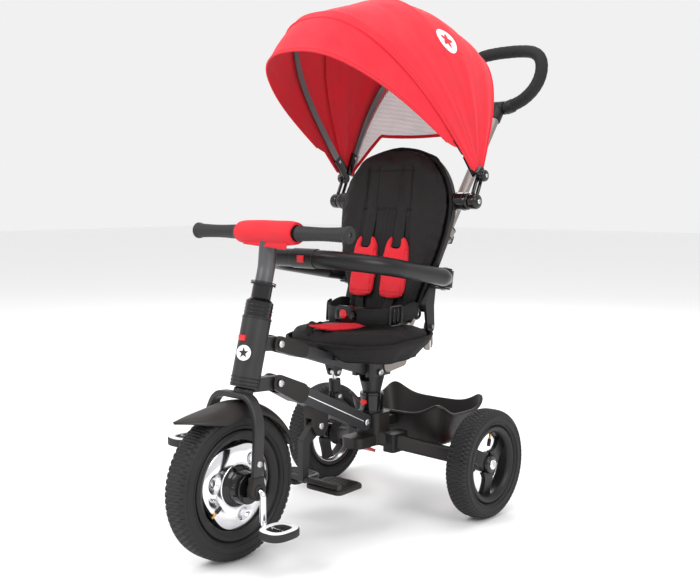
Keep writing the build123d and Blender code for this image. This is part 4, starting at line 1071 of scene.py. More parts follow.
def seat():
    rows, columns = 22, 96
    vertices, faces = [], []
    for i in range(rows):
        share = i / (rows - 1)
        for j in range(columns):
            x, y = seat_plan(2 * pi * j / columns, -3 - 2 * share)
            if share < 0.35:
                t = share / 0.35
                z = edge_height(y) - 9 + 11 * t
                vertices.append(at(x, min(y, -22), z))
            else:
                t = (share - 0.35) / 0.65
                pull = 1 - t ** 1.5 * 0.96
                rise = edge_height(y) + 2 + (SEAT_TOP - 4 - edge_height(y)) * sin(pi / 2 * min(1, t * 3))
                dish = 5.0 * t ** 2
                vertices.append(at(x * pull, SEAT_MIDDLE[0] + (y - SEAT_MIDDLE[0]) * pull, rise - dish))
    faces = ring_faces(rows, columns)
    faces.append(tuple(range(columns)))
    faces.append(tuple(range((rows - 1) * columns, rows * columns)))
    cushion = new_piece("seat_cover", vertices, faces, "seat_black", "rear_frame", "fabric_black")
    recalculate(cushion)
    puff(cushion, 0.005, 3.0, 0.005)

    def seams(p):
        x, y, z = p.x / MM, (p.y - REAR_AXLE.y) / MM, p.z / MM
        if z < 340:
            return 0.0
        ring_r = hypot(x / 96, (y + 136) / 78)
        seam = 2.2 * near(ring_r, 1.0, 0.028)
        pucker = 0.5 * noise.noise(Vector((x * 0.06, y * 0.06, 3))) + 0.5 * sin(x * 0.35) * near(ring_r, 1.0, 0.10)
        slot = 2.5 * near(x, 0, 16) * near(y, -196, 3.0)
        return (seam + slot + pucker) * MM
    subdivide(cushion)
    press(cushion, seams)
    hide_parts("seat_cushion")
    path = []
    for j in range(160):
        x, y = seat_plan(2 * pi * j / 160, 0.6)
        path.append(at(x, y, edge_height(y) + 1.5 * noise.noise(Vector((x * 0.03, y * 0.03, 0)))))
    tube("seat_piping", path, 0.0027, "piping_black", "rear_frame", "fabric_black", Vector((0, 0, 1)), True)
    skirt()


def skirt():
    """The cover's side hangs from the piping and is drawn in under the seat, over a shallow pan."""
    def surface(u, v):
        angle = 2 * pi * v
        x, y = seat_plan(angle, 0.0)
        top = edge_height(y)
        notch = 14.0 * near(x, 0, 30) * (1 if y < -150 else 0)
        bottom = 304.5 + notch + 1.5 * sin(5 * angle)
        z = top + (bottom - top) * u
        fold = 2.4 * u * (1 - 0.4 * u) * (sin(11 * angle + 2 * sin(3 * angle)) * 0.6 + sin(23 * angle) * 0.3)
        drawn = -32.0 * max(0.0, u - 0.10) ** 1.25 + 2.4 * sin(pi * min(1.0, u * 1.6))
        x, y = seat_plan(angle, -0.6 + fold + drawn)
        return at(x, y, z)
    piece = skin("seat_skirt", surface, 30, 260, 0.0014, "seat_black", "rear_frame", "fabric_black", True)
    hem = [surface(0.985, k / 200) for k in range(200)]
    tube("seat_skirt_hem", hem, 0.0016, "piping_black", "rear_frame", "fabric_black", Vector((0, 0, 1)), True)
    rows = ((-36, 308), (-33, 306.2), (-30, 308), (-24, 330), (-27, 332), (-60, 333), (-108, 333))
    vertices = []
    for grow, z in rows:
        for j in range(120):
            x, y = seat_plan(2 * pi * j / 120, grow)
            vertices.append(at(x, y, z))
    for z in (312.0, 308.0):
        vertices += [at(*seat_plan(2 * pi * j / 120, -104 if z > 310 else -60), z) for j in range(120)]
    pan = new_piece("seat_pan", vertices, ring_faces(9, 120, True, True), "plastic_black", "rear_frame",
                    "black_plastic")
    recalculate(pan)
    keep_edges(pan, 45)
    bridge = rounded([(-20, -68), (20, -68), (26, 30), (26, 62), (-26, 62), (-26, 30)], 7, 4)
    channel = plate("seat_bridge", bridge, at(0, -150, 0), (0, 0, 1), 305.5, 313, 2.0, "plastic_black", "rear_frame",
                    "black_plastic")
    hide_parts("seat_shell")


# ---- backrest -----------------------------------------------------------------------------------
BACK_FOOT_POINT = (-58.0, 364.0)
BACK_UP = Vector((0, 0.1768, 0.9842))
BACK_OUT = Vector((0, -0.9842, 0.1768))
BACK_HALF_WIDTHS = ((0, 60), (25, 78), (68, 92), (128, 116), (175, 128), (215, 131), (250, 127), (285, 112),
                    (312, 91), (328, 66), (336, 38), (339, 4))


def on_back(across, height, out):
    """A point of the backrest in mm across, up along it and out of its front."""
    return at(across, *BACK_FOOT_POINT) + BACK_UP * height * MM + BACK_OUT * out * MM


def back_local(p):
    """The inverse of on_back."""
    q = p - at(0, *BACK_FOOT_POINT)
    return p.x / MM, q.dot(BACK_UP) / MM, q.dot(BACK_OUT) / MM


def back_half_width(height):
    pairs = BACK_HALF_WIDTHS
    for (h0, w0), (h1, w1) in zip(pairs, pairs[1:]):
        if height <= h1:
            t = (height - h0) / (h1 - h0)
            return w0 + (w1 - w0) * t
    return pairs[-1][1]


def backrest():
    rows, columns = 44, 56
    heights = [1 + 336.5 * (i / (rows - 1)) ** 0.96 for i in range(rows)]
    vertices = []
    for height in heights:
        half = back_half_width(height) + 1.0
        for j in range(columns):
            angle = 2 * pi * j / columns
            c, s = cos(angle), sin(angle)
            across = half * (abs(c) ** 0.62) * (1 if c >= 0 else -1)
            wing = 5.0 * near(abs(c) ** 0.62, 0.84, 0.17) * (1 if s > 0 else 0)
            dish = 3.0 * (1 - min(1.0, abs(c) ** 0.62 / 0.75)) * (1 if s > 0 else 0)
            out = 10 + (15 - dish) * (abs(s) ** 0.62) * (1 if s >= 0 else -0.72) + wing * min(1, height / 90)
            taper = 1.0 if height < 322 else 1 - 0.45 * ((height - 322) / 17)
            vertices.append(on_back(across, height, 9 + (out - 9) * taper))
    faces = ring_faces(rows, columns)
    faces.append(tuple(range(columns)))
    faces.append(tuple(range((rows - 1) * columns, rows * columns)))
    cushion = new_piece("back_cover", vertices, faces, "seat_black", "backrest", "fabric_black")
    recalculate(cushion)
    puff(cushion, 0.005, 3.0, 0.005)
    subdivide(cushion)

    def seams(p):
        across, height, out = back_local(p)
        if out < 8:
            return 0.0
        width = back_half_width(min(338, max(0, height)))
        side = abs(across) / max(width, 1)
        strap = 2.6 * near(abs(across), 30 + 3 * sin(height * 0.02), 2.6) * (1 if 12 < height < 300 else 0)
        channel = 1.5 * (1 if 31 < abs(across) < 55 and 12 < height < 292 else 0)
        outer = 2.6 * near(abs(across), 57 + 4 * sin(height * 0.015), 2.8) * (1 if 12 < height < 300 else 0)
        panel = 2.4 * (near(height, 214, 2.4) + near(height, 292, 2.4)) * (1 if abs(across) < 58 else 0)
        cross = 1.8 * near(height, 108, 2.4) * (1 if abs(across) < 32 else 0)
        wing = 2.2 * near(side, 0.93, 0.022)
        ribs = 0.7 * cos(across * 0.62) * (1 if abs(across) < 30 and height < 214 else 0)
        wrinkle = 0.9 * noise.noise(Vector((across * 0.045, height * 0.02, 1)))
        tension = 0.7 * sin(height * 0.22 + 2 * sin(across * 0.1)) * near(side, 0.93, 0.10)
        return (strap + channel + outer + panel + cross + wing - ribs + wrinkle + tension) * MM
    press(cushion, seams)
    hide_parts("back_cushion")
    outline = []
    for k in range(-60, 61):
        height = 338.5 - abs(k) / 60 * 334
        half = back_half_width(height) + 1.5
        outline.append(on_back(half * (1 if k > 0 else -1 if k < 0 else 0), height, 4))
    tube("back_piping", catmull(outline[::3], 4), 0.0026, "piping_black", "backrest", "fabric_black",
         Vector((0, 1, 0)))
    for side, label in ((1, "left"), (-1, "right")):
        eyelet = [on_back(side * 72, 18, -12) + BACK_UP * 0.008 * sin(a) + Vector((0, 0.008 * cos(a), 0))
                  for a in [2 * pi * k / 24 for k in range(24)]]
        tube("back_eyelet_" + label, eyelet, 0.0026, "plastic_gloss", "backrest", "black_plastic",
             Vector((1, 0, 0)), True)


def strap(name, points, width, thickness, across, material, body, slot, per=8):
    """A flat strap along a smooth line."""
    path = catmull(points, per)
    if isinstance(across, list):
        reference = []
        for i in range(len(path)):
            share = i / (len(path) - 1) * (len(across) - 1)
            k = min(int(share), len(across) - 2)
            reference.append(Vector(across[k]).lerp(Vector(across[k + 1]), share - k))
    else:
        reference = Vector(across)
    return sweep(name, path, lambda share: strip(width, thickness), reference, material, body, slot)


def harness():
    x_axis = Vector((1, 0, 0))
    for side, label in ((1, "left"), (-1, "right")):
        low = (38 * side, 150)
        points = [on_back(36 * side, 291, 16), on_back(36 * side, 285, 25), on_back(36 * side, 240, 25.5),
                  on_back(37 * side, 190, 28), on_back(low[0], 158, 31), on_back(low[0], 140, 34)]
        strap("shoulder_strap_" + label, points, 0.024, 0.0016, x_axis, "webbing_black", "backrest",
                            "webbing_black")
        shoulder_pad(side, label)
        tail = [on_back(38 * side, 50, 34), on_back(36 * side, 30, 36), on_back(30 * side, 14, 42),
                at(22 * side, -118, 392), at(14 * side, -140, 396), at(5 * side, -158, 392)]
        strap("harness_tail_" + label, tail, 0.019, 0.0015, [x_axis, x_axis, x_axis, x_axis],
                            "webbing_black", "backrest", "webbing_black")
        up = Vector((0, 0.1, 1))
        belt = [on_back(86 * side, 24, 8), on_back(88 * side, 23, 28), at(86 * side, -108, 386),
                at(72 * side, -136, 383), at(48 * side, -156, 382), at(24 * side, -166, 384)]
        strap("waist_belt_" + label, belt, 0.030, 0.0042, [up, up, up + x_axis * 0.1 * side, up],
                            "webbing_black", "backrest", "webbing_black")
        edge = [p + Vector((0, -0.0025, 0.0125)) for p in catmull(belt[2:], 8)]
        stitches("waist_stitch_" + label, edge, lambda p: Vector((0, -1, 0.2)), "backrest", "webbing_black",
                 "plastic_black")
        adjuster(label, belt[2].lerp(belt[3], 0.5), (belt[3] - belt[2]).normalized())
    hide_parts("harness_straps")
    buckle()
    crotch_pad()


def shoulder_pad(side, label):
    """A red pad with a notch at the top where its strap comes out."""
    outline = [(-27, 46), (-30, 60), (-32, 90), (-32, 125), (-28, 148), (-20, 161), (-15, 162), (-14, 150),
               (-13, 141), (13, 141), (14, 150), (15, 162), (20, 161), (28, 148), (32, 125), (32, 90), (30, 60),
               (27, 46), (14, 41), (0, 40), (-14, 41)]
    outline = rounded(outline, 5, 3)
    vertices = []
    layers = (27.5, 29, 33, 37, 38.5)
    centre = Vector((0, 98))
    for out in layers:
        shrink = 2.6 if out in (27.5, 38.5) else 0.6 if out in (29, 37) else 0.0
        for x, v in outline:
            away = (Vector((x, v)) - centre).normalized() * shrink
            curve = 3.0 * (abs(x) / 32) ** 2 - 3.5 * near(v, 40, 30)
            vertices.append(on_back(38 * side + x - away.x, v - away.y, out - curve))
    count = len(outline)
    faces = ring_faces(len(layers), count)
    faces += [tuple(range(count)), tuple(range((len(layers) - 1) * count, len(layers) * count))]
    pad = new_piece("shoulder_pad_" + label, vertices, faces, "pad_red", "backrest", "fabric_red")
    recalculate(pad)
    puff(pad, 0.0035, 3.0, 0.003)
    subdivide(pad)

    def seams(p):
        across, height, out = back_local(p)
        x = abs(across - 38 * side)
        if out < 33:
            return 0.0
        border = 1.3 * near(x, 25.5, 1.3) * (1 if 50 < height < 135 else 0)
        crease = 0.7 * noise.noise(Vector((across * 0.09, height * 0.05, 5)))
        return (border + 0.8 * near(height, 52, 1.3) + crease) * MM
    press(pad, seams)
    if side > 0:
        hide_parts("shoulder_pads")
    for x in (-23.0, 23.0):
        line = [on_back(38 * side + x, v, 38.2 - 3.0 * (abs(x) / 32) ** 2) for v in range(56, 134, 2)]
        stitches(f"pad_stitch_{label}_{'a' if x < 0 else 'b'}", line, lambda p: BACK_OUT, "backrest", "fabric_red",
                 "binding_red")


def adjuster(label, centre, along):
    """A ladder buckle: a frame with three bars."""
    up = Vector((0, 0.1, 1)).normalized()
    out = along.cross(up).normalized()
    if out.y > 0:
        out = -out
    front = centre + out * 0.0045
    corners = [front + along * a + up * b for a, b in ((-0.012, -0.018), (0.012, -0.018), (0.012, 0.018),
                                                       (-0.012, 0.018))]
    rim = []
    for i in range(4):
        for k in range(8):
            rim.append(corners[i].lerp(corners[(i + 1) % 4], 0.1 + 0.8 * k / 7))
    tube("adjuster_rim_" + label, rim, 0.0021, "plastic_gloss", "backrest", "black_plastic", out, True)
    for k in (-1, 1):
        bar = [front + along * 0.004 * k + up * b for b in (-0.018, -0.006, 0.006, 0.018)]
        tube(f"adjuster_bar_{label}_{'a' if k < 0 else 'b'}", bar, 0.0016, "plastic_gloss", "backrest",
             "black_plastic", out)


def buckle():
    """A three-point buckle with its release button, in front of the rider."""
    centre = at(0, -170, 385)
    outline = rounded([(-20, -15), (20, -15), (24, 0), (17, 17), (-17, 17), (-24, 0)], 7, 5)
    tilt = Vector((0, -1, 0.12))
    plate("buckle_body", outline, centre, tilt, -6, 6, 2.6, "plastic_gloss", "backrest", "black_plastic")
    plate("buckle_button", circle(8.5, (0, 1), 32), centre, tilt, 5.2, 8.0, 1.2, "button_red", "backrest",
          "button_red")
    for x in (-14.5, 14.5):
        slot = rounded([(x - 1.4, -8), (x + 1.4, -8), (x + 1.4, 8), (x - 1.4, 8)], 1.2, 3)
        plate(f"buckle_rib_{'a' if x < 0 else 'b'}", slot, centre, tilt, 5.4, 7.0, 0.6, "plastic_black",
              "backrest", "black_plastic")
    path = [at(0, -172, 371), at(-2, -183, 361), at(-3, -196, 358), at(-3, -205, 350)]
    strap("crotch_strap", path, 0.022, 0.0016, Vector((1, 0, 0)), "webbing_black", "rear_frame", "webbing_black")


def crotch_pad():
    """A lens-shaped pad that lies askew on the seat."""
    direction = Vector((0.70, 0.714, 0)).normalized()
    side = Vector((-direction.y, direction.x, 0))
    centre = at(0, -191, 363.5)
    rows, columns = 40, 24
    vertices = []
    for i in range(rows):
        t = 2 * i / (rows - 1) - 1
        half = 25 * (1 - abs(t) ** 1.9) + 1.2
        for j in range(columns):
            a = 2 * pi * j / columns
            lift = 5.0 * (abs(sin(a)) ** 0.8) * (1 if sin(a) > 0 else -1) * (1 - 0.75 * abs(t) ** 3)
            curl = 4.5 * t * t
            vertices.append(centre + direction * 57 * t * MM + side * half * cos(a) * MM
                            + Vector((0, 0, (lift + curl) * MM)))
    faces = ring_faces(rows, columns)
    faces += [tuple(range(columns)), tuple(range((rows - 1) * columns, rows * columns))]
    pad = new_piece("crotch_pad_cover", vertices, faces, "pad_red", "rear_frame", "fabric_red")
    recalculate(pad)
    puff(pad, 0.003, 2.0, 0.002)
    subdivide(pad)

    def seams(p):
        q = p - centre
        t, s = q.dot(direction) / 0.057, q.dot(side) / 0.026
        return (1.1 * near(hypot(t, s), 0.80, 0.03) + 0.5 * noise.noise(p * 60)) * MM if q.z > 0 else 0.0
    press(pad, seams)
    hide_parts("crotch_pad")
    loop = [at(-36, -231, 350), at(-36, -230, 360), at(-34, -225, 369), at(-29, -217, 371), at(-24, -209, 368)]
    strap("crotch_loop", loop, 0.014, 0.0016, Vector((0.8, 0.6, 0)), "webbing_black", "rear_frame",
          "webbing_black")


# ---- canopy -------------------------------------------------------------------------------------
CANOPY_POWER = 2.5
FRONT_SHEET = ((18.5, 167.5, 346.5), (23, 167.5, 348.5), (28, 167.4, 352), (33, 167, 361), (39, 166.6, 376),
               (45, 166, 392))
VISOR_SHEET = ((43.5, 165.0, 391), (48, 165, 392.5), (53, 163.5, 395), (58.4, 162, 396))
REAR_SHEET = ((-25, 164, 291), (-18, 163.6, 298), (-9, 162.6, 305), (0, 162, 315), (8, 161.6, 327),
              (15, 161.6, 337), (20, 162.6, 343.5), (24.5, 163.8, 345.5))


def between(table, lean):
    """Smooth width and height of the hood at a lean."""
    if lean <= table[0][0]:
        return table[0][1:]
    for (a0, w0, h0), (a1, w1, h1) in zip(table, table[1:]):
        if lean <= a1:
            t = (lean - a0) / (a1 - a0)
            return w0 + (w1 - w0) * t, h0 + (h1 - h0) * t
    return table[-1][1:]


def hood_point(lean, angle, width, height, grow=0.0):
    """A point of the hood. The lean is forward of straight up, the angle runs from the left foot (0)
    over the top (90) to the right foot (180), in degrees."""
    c, s = cos(radians(angle)), sin(radians(angle))
    x = (width + grow) * (abs(c) ** (2 / CANOPY_POWER)) * (1 if c >= 0 else -1)
    h = (height + grow) * (max(0.0, s) ** (2 / CANOPY_POWER))
    hinge = pivot("canopy_fold")
    return hinge + Vector((x, -h * sin(radians(lean)), h * cos(radians(lean)))) * MM


def foot_angle(height, low):
    """The hood angle at which an arch of this height is low mm above the pivots."""
    return degrees(asin(min(0.999, (low / height) ** (CANOPY_POWER / 2))))


def hood(name, table, low_at, body, folds, flare=0.0, rows=60, columns=220, thickness=-0.0011):
    """A sheet over the arches of the table. With flare its free side reaches round the rib near the feet:
    forward with a positive flare and back with a negative one, in mm."""
    first, last = table[0][0], table[-1][0]

    def surface(u, v):
        lean = first + (last - first) * u
        width, height = between(table, lean)
        low = foot_angle(height, low_at(lean))
        angle = low + (180 - 2 * low) * v
        above = height * sin(radians(angle)) ** (2 / CANOPY_POWER)
        edge = (u if flare > 0 else 1 - u) ** 3
        turned = lean + edge * degrees(flare / max(above, 14))
        return hood_point(turned, angle, width, height, folds(lean, angle))
    return skin(name, surface, rows, columns, thickness, "canopy_red", body, "fabric_red"), surface


def rear_folds(lean, angle):
    """Soft folds run up from each foot and die out towards the top."""
    up = sin(radians(angle))
    fade = min(1.0, up * 5) * (1 - up) ** 0.6
    wave = sin(lean * 0.30 + 1.5 * up + (0.8 if angle > 90 else 0)) + 0.35 * sin(lean * 0.66 - 2.2 * up + 1)
    soft = noise.noise(Vector((lean * 0.05, angle * 0.03, 2)))
    calm = 1 - near(lean, 24, 6)
    return (2.2 * wave * fade - 1.6 * fade + 1.6 * soft * up) * calm - 0.8 * (1 - calm)


def front_folds(lean, angle):
    up = sin(radians(angle))
    fade = min(1.0, up * 5) * (1 - up) ** 0.7 * (1 - near(lean, 45, 3))
    wave = sin(lean * 0.42 + 1.2 * up) + 0.4 * sin(lean * 0.85 - 2 * up)
    return 0.6 + 1.5 * abs(wave) * fade + 0.7 * abs(noise.noise(Vector((lean * 0.08, angle * 0.04, 7)))) * up


def visor_folds(lean, angle):
    up = sin(radians(angle))
    return 0.8 * noise.noise(Vector((lean * 0.08, angle * 0.05, 9))) + 1.0 * near(lean, 57.6, 0.9) * up


def visor_low(lean):
    """The visor's lower corners are round lobes."""
    t = (lean - 50.5) / 8.2
    return 84 + 34 * min(1.0, abs(t)) ** 3.2


def rear_low(lean):
    t = (lean + 2) / 24
    return 14 + 10 * min(1.2, abs(t)) ** 3


def front_low(lean):
    return 15 + 16 * max(0.0, (lean - 40) / 5) ** 2


def canopy():
    rear, rear_surface = hood("canopy_rear_sheet", REAR_SHEET, rear_low, "canopy_rear", rear_folds, -8.0)
    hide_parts("canopy_rear")
    front, front_surface = hood("canopy_front_sheet", FRONT_SHEET, front_low, "canopy_front", front_folds, 11.0,
                                rows=44)
    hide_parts("canopy_front")
    visor, visor_surface = hood("canopy_visor", VISOR_SHEET, visor_low, "canopy_front", visor_folds, rows=34)
    for name, surface, u, body in (("rear_edge", rear_surface, 0.004, "canopy_rear"),
                                   ("front_seam", front_surface, 0.985, "canopy_front"),
                                   ("visor_edge", visor_surface, 0.99, "canopy_front")):
        path = [surface(u, k / 160) for k in range(161)]
        section = oval(0.0019, 0.0016, 12)
        sweep("canopy_" + name, path, lambda share: section, Vector((0, 0.5, 1)), "canopy_red", body, "fabric_red")
    for offset, name in ((0.955, "a"), (0.90, "b")):
        line = [front_surface(offset, k / 400) for k in range(401)]
        stitches("canopy_stitch_" + name, line, outward, "canopy_front", "fabric_red", "binding_red")
    line = [visor_surface(0.94, k / 400) for k in range(401)]
    stitches("canopy_stitch_c", line, outward, "canopy_front", "fabric_red", "binding_red")
    canopy_emblem()
    canopy_ribs()
    canopy_window()
    tab = [hood_point(49.0, foot_angle(392, h), 162.0, 392) for h in (100, 88, 76, 64)]
    strap("canopy_tab", tab, 0.013, 0.0016, Vector((0, 1, -0.6)), "webbing_black", "canopy_front", "webbing_black")


def outward(p):
    """Roughly away from the inside of the hood."""
    return p - (pivot("canopy_fold") + Vector((0, -0.06, 0.12)))


def canopy_emblem():
    """A plain white disc with a red star, printed on the left of the hood."""
    centre_lean, centre_angle, spread_lean, spread_angle = 10.0, 46.0, 5.6, 6.6

    def place(x, y, lift):
        lean, angle = centre_lean - spread_lean * x, centre_angle + spread_angle * y
        width, height = between(REAR_SHEET, lean)
        return hood_point(lean, angle, width, height, rear_folds(lean, angle) + lift)
    rings, sectors = 12, 60
    for name, material, lift in (("disc", "white_print", 0.5), ("star", "canopy_red", 0.9)):
        vertices, faces = [place(0, 0, lift)], []
        for i in range(1, rings + 1):
            for j in range(sectors):
                angle = 2 * pi * j / sectors
                reach = 1.0
                if name == "star":
                    sector = (j % 12) / 12
                    reach = 0.62 - 0.36 * (1 - abs(2 * sector - 1))
                share = reach * i / rings
                vertices.append(place(share * cos(angle), share * sin(angle), lift))
        faces += [(0, 1 + j, 1 + (j + 1) % sectors) for j in range(sectors)]
        for i in range(rings - 1):
            for j in range(sectors):
                a, b = 1 + i * sectors + j, 1 + i * sectors + (j + 1) % sectors
                faces.append((a, b, b + sectors, a + sectors))
        piece = new_piece("emblem_" + name, vertices, faces, material, "canopy_rear", "fabric_red")
        solid = piece.modifiers.new("solid", "SOLIDIFY")
        solid.thickness = 0.0003
        apply_modifiers(piece)


def canopy_ribs():
    """Flat grey straps inside the hood, held in black sockets at the knobs."""
    for name, lean, table, body, inset in (("front", 42.0, FRONT_SHEET, "canopy_front", 7.0),
                                           ("rear", -21.0, REAR_SHEET, "canopy_rear", 7.5)):
        width, height = between(table, lean)
        path, count = [], 90
        low = foot_angle(height, 12)
        for k in range(count + 1):
            angle = low + (180 - 2 * low) * k / count
            path.append(hood_point(lean, angle, width, height, -inset))
        normal = Vector((0, cos(radians(lean)), sin(radians(lean))))
        rib = sweep(f"rib_strap_{name}", path, lambda share: strip(0.015, 0.0022), normal, "rib_grey", body,
                    "steel")
        keep_edges(rib, 40)
        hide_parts("canopy_rib_" + name)
        out = Vector((0, -sin(radians(lean)), cos(radians(lean))))
        for side, label in ((1, "left"), (-1, "right")):
            x = side * (width - inset)
            hinge = pivot("canopy_fold")
            sleeve = [hinge + Vector((x * MM, 0, 0)) + out * h * MM for h in (6, 16, 30, 44, 52)]
            shape = [(a * MM, b * MM) for a, b in rounded([(-10, -2.7), (10, -2.7), (10, 2.7), (-10, 2.7)], 1.6, 3)]
            socket = sweep(f"rib_socket_{name}_{label}", sleeve, lambda share: shape, normal, "plastic_gloss", body,
                           "gloss_black")
            keep_edges(socket, 40)
            bolt(f"rib_screw_{name}_{label}", sleeve[3] - Vector((side * 0.0025, 0, 0)), (-side, 0, 0), 3.2, 1.6,
                 "steel", body, "steel", "cross")
            if name == "front":
                eye = rounded([(170.6, 4.3), (170.6, 11.4), (178, 11.4), (178, 4.3)], 1.5, 3)
                profile = [(side * a, r) for a, r in eye]
                lathe("rib_eye_front_" + label, profile, Vector((0, hinge.y, hinge.z)), (1, 0, 0), "plastic_gloss",
                      body, "gloss_black", 48)
                link = [hinge + Vector((side * 174 * MM, 0, 0)) + out * 0.008,
                        hinge + Vector((side * 171 * MM, 0, 0)) + out * 0.013,
                        hinge + Vector((x * MM, 0, 0)) + out * 0.017]
                sweep("rib_link_" + label, catmull(link, 5), lambda share: shape, normal, "plastic_gloss", body,
                      "gloss_black")


def canopy_window():
    """A net across the back of the hood, with a red binding along its lower edge."""
    lean, width, height = -24.0, 160.0, 287.0

    def arch(x):
        return height * (1 - min(1, abs(x) / width) ** CANOPY_POWER) ** (1 / CANOPY_POWER)

    def low(x):
        if abs(x) < 104:
            return 95 - 5 * (1 - (x / 104) ** 2)
        t = (abs(x) - 104) / 52
        return 95 - 88 * min(1.2, t)

    def place(x, h, out=0.0):
        hinge = pivot("canopy_fold")
        a = radians(lean)
        belly = 7 * max(0.0, 1 - (x / 150) ** 2) * max(0.0, sin(pi * min(1, max(0, (h - 60) / 230))))
        out = out + belly
        return hinge + Vector((x, -h * sin(a) + out * cos(a), h * cos(a) + out * sin(a))) * MM
    vertices, faces = [], []
    pitch, half = 3.1, 0.62

    def thread(points, shift):
        """A thin flat thread through (x, h) points; shift is the half width across it."""
        base = len(vertices)
        for x, h in points:
            for dx, dh, out in ((-shift[0], -shift[1], 0), (0, 0, 0.35), (shift[0], shift[1], 0), (0, 0, -0.35)):
                vertices.append(place(x + dx, h + dh, out))
        for i in range(len(points) - 1):
            for j in range(4):
                a, b = base + 4 * i + j, base + 4 * i + (j + 1) % 4
                faces.append((a, b, b + 4, a + 4))
        last = len(vertices) - 4
        faces.append((base, base + 1, base + 2, base + 3))
        faces.append((last + 3, last + 2, last + 1, last))
    for k in range(-49, 50):
        x = k * pitch
        bottom, top = low(x), arch(x) - 1.5
        steps = max(2, int((top - bottom) / 18))
        thread([(x, bottom + (top - bottom) * i / steps) for i in range(steps + 1)], (half, 0))
    for k in range(int(286 / pitch)):
        h = 6 + k * pitch
        if h > height - 3:
            break
        reach = width * (1 - (h / height) ** CANOPY_POWER) ** (1 / CANOPY_POWER) - 1.5
        if h >= 95:
            spans = [(-reach, reach)]
        else:
            inner = 104 + 52 * (95 - h) / 88
            spans = [(-reach, -inner), (inner, reach)] if inner < reach else []
        for a, b in spans:
            steps = max(1, int((b - a) / 18))
            thread([(a + (b - a) * i / steps, h) for i in range(steps + 1)], (0, half))
    net = new_piece("canopy_net", vertices, faces, "net_white", "canopy_rear", "fabric_red")
    recalculate(net)
    binding = []
    for k in range(81):
        x = -157 + 314 * k / 80
        binding.append(place(x, low(x)))
    sweep("canopy_net_binding", binding, lambda share: [(a * 0.55, b * 1.0) for a, b in strip(0.012, 0.002)],
          Vector((0, 0.3, 1)), "pad_red", "canopy_rear", "fabric_red")


def back_brackets():
    """Carriers for the guardrail's pivots, and the bosses that carry the canopy."""
    tilt = Vector((0, 0.172, 0.9851))
    for side, label in ((1, "left"), (-1, "right")):
        centre = pivot(f"guardrail_{label}_swing")
        outline = rounded([(-46, -11.5), (11.8, -11.5), (11.8, 11.5), (-46, 11.5)], 11.2, 8)
        if side < 0:
            outline = [(-x, y) for x, y in outline]
        for low, name in ((17, "top"), (-20, "low")):
            piece = plate(f"rail_carrier_{label}_{name}", outline, centre, tilt, low, low + 3, 1.0, "plastic_black",
                          "backrest", "black_plastic")
            bolt(f"rail_bolt_{label}_{name}", centre + tilt * (0.0199 if low > 0 else -0.0199),
                 tilt if low > 0 else -tilt, 5.2, 2.4, "steel", "backrest", "steel")
        web = rounded([(-47, -11), (-36, -11), (-36, 11), (-47, 11)], 3, 3)
        if side < 0:
            web = [(-x, y) for x, y in web]
        plate(f"rail_web_{label}", web, centre, tilt, -19, 19, 1.5, "plastic_black", "backrest", "black_plastic")
        low = pivot("canopy_tilt")
        boss = rounded([(112, 0.01), (112, 15), (122, 16.6), (156, 16.6), (161.6, 14.6), (161.6, 0.01)], 2.4, 4)
        barrel = lathe("canopy_boss_" + label, [(side * a, r) for a, r in boss], Vector((0, low.y, low.z)), (1, 0, 0),
                       "plastic_gloss", "backrest", "gloss_black", 64)
        keep_edges(barrel, 50)
        for x in (128, 134, 150):
            ring = [(side * x + 0.9 * cos(a), 16.7 + 0.6 * sin(a)) for a in [2 * pi * k / 8 for k in range(8)]]
            lathe(f"boss_ring_{label}_{x}", ring, Vector((0, low.y, low.z)), (1, 0, 0), "plastic_black", "backrest",
                  "gloss_black", 48)
    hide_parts("back_brackets")


def canopy_arms():
    """Two round knobs on each side, joined by a pair of rods."""
    low, high = pivot("canopy_tilt"), pivot("canopy_fold")
    for side, label in ((1, "left"), (-1, "right")):
        lower = rounded([(162, 4.3), (162, 13), (165, 14.8), (176, 14.8), (180, 12.5), (181.5, 7), (181.5, 0.01),
                         (170, 0.01), (170, 4.3)], 2.0, 4)
        knob = lathe("canopy_knob_low_" + label, [(side * a, r) for a, r in lower], Vector((0, low.y, low.z)),
                     (1, 0, 0), "plastic_gloss", "canopy_rear", "gloss_black", 64)
        keep_edges(knob, 50)
        upper = rounded([(165.2, 0.01), (165.2, 12), (170, 12), (170, 0.01)], 1.2, 3)
        lathe("canopy_knob_high_" + label, [(side * a, r) for a, r in upper], Vector((0, high.y, high.z)),
              (1, 0, 0), "plastic_gloss", "canopy_rear", "gloss_black", 64)
        cap = rounded([(178.4, 0.01), (178.4, 11.0), (181, 10.2), (182.6, 6.5), (182.6, 0.01)], 1.2, 3)
        lathe("canopy_cap_" + label, [(side * a, r) for a, r in cap], Vector((0, high.y, high.z)),
              (1, 0, 0), "plastic_gloss", "canopy_rear", "gloss_black", 64)
        bolt("canopy_bolt_low_" + label, Vector((side * 181.3 * MM, low.y, low.z)), (side, 0, 0), 4.4, 1.8, "steel",
             "canopy_rear", "steel")
        bolt("canopy_bolt_high_" + label, Vector((side * 182.4 * MM, high.y, high.z)), (side, 0, 0), 3.6, 1.4,
             "steel", "canopy_rear", "steel")
        run = (high - low).normalized()
        across = Vector((0, -run.z, run.y))
        for k in (-1, 1):
            offset = across * 0.0068 * k + Vector((side * 0.1675, 0, 0))
            path = [Vector((0, low.y, low.z)) + offset + run * s for s in (0.006, 0.02, 0.034, 0.047)]
            tube(f"canopy_rod_{label}_{'a' if k < 0 else 'b'}", path, 0.0035, "plastic_gloss", "canopy_rear",
                 "gloss_black")
    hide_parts("canopy_arms")


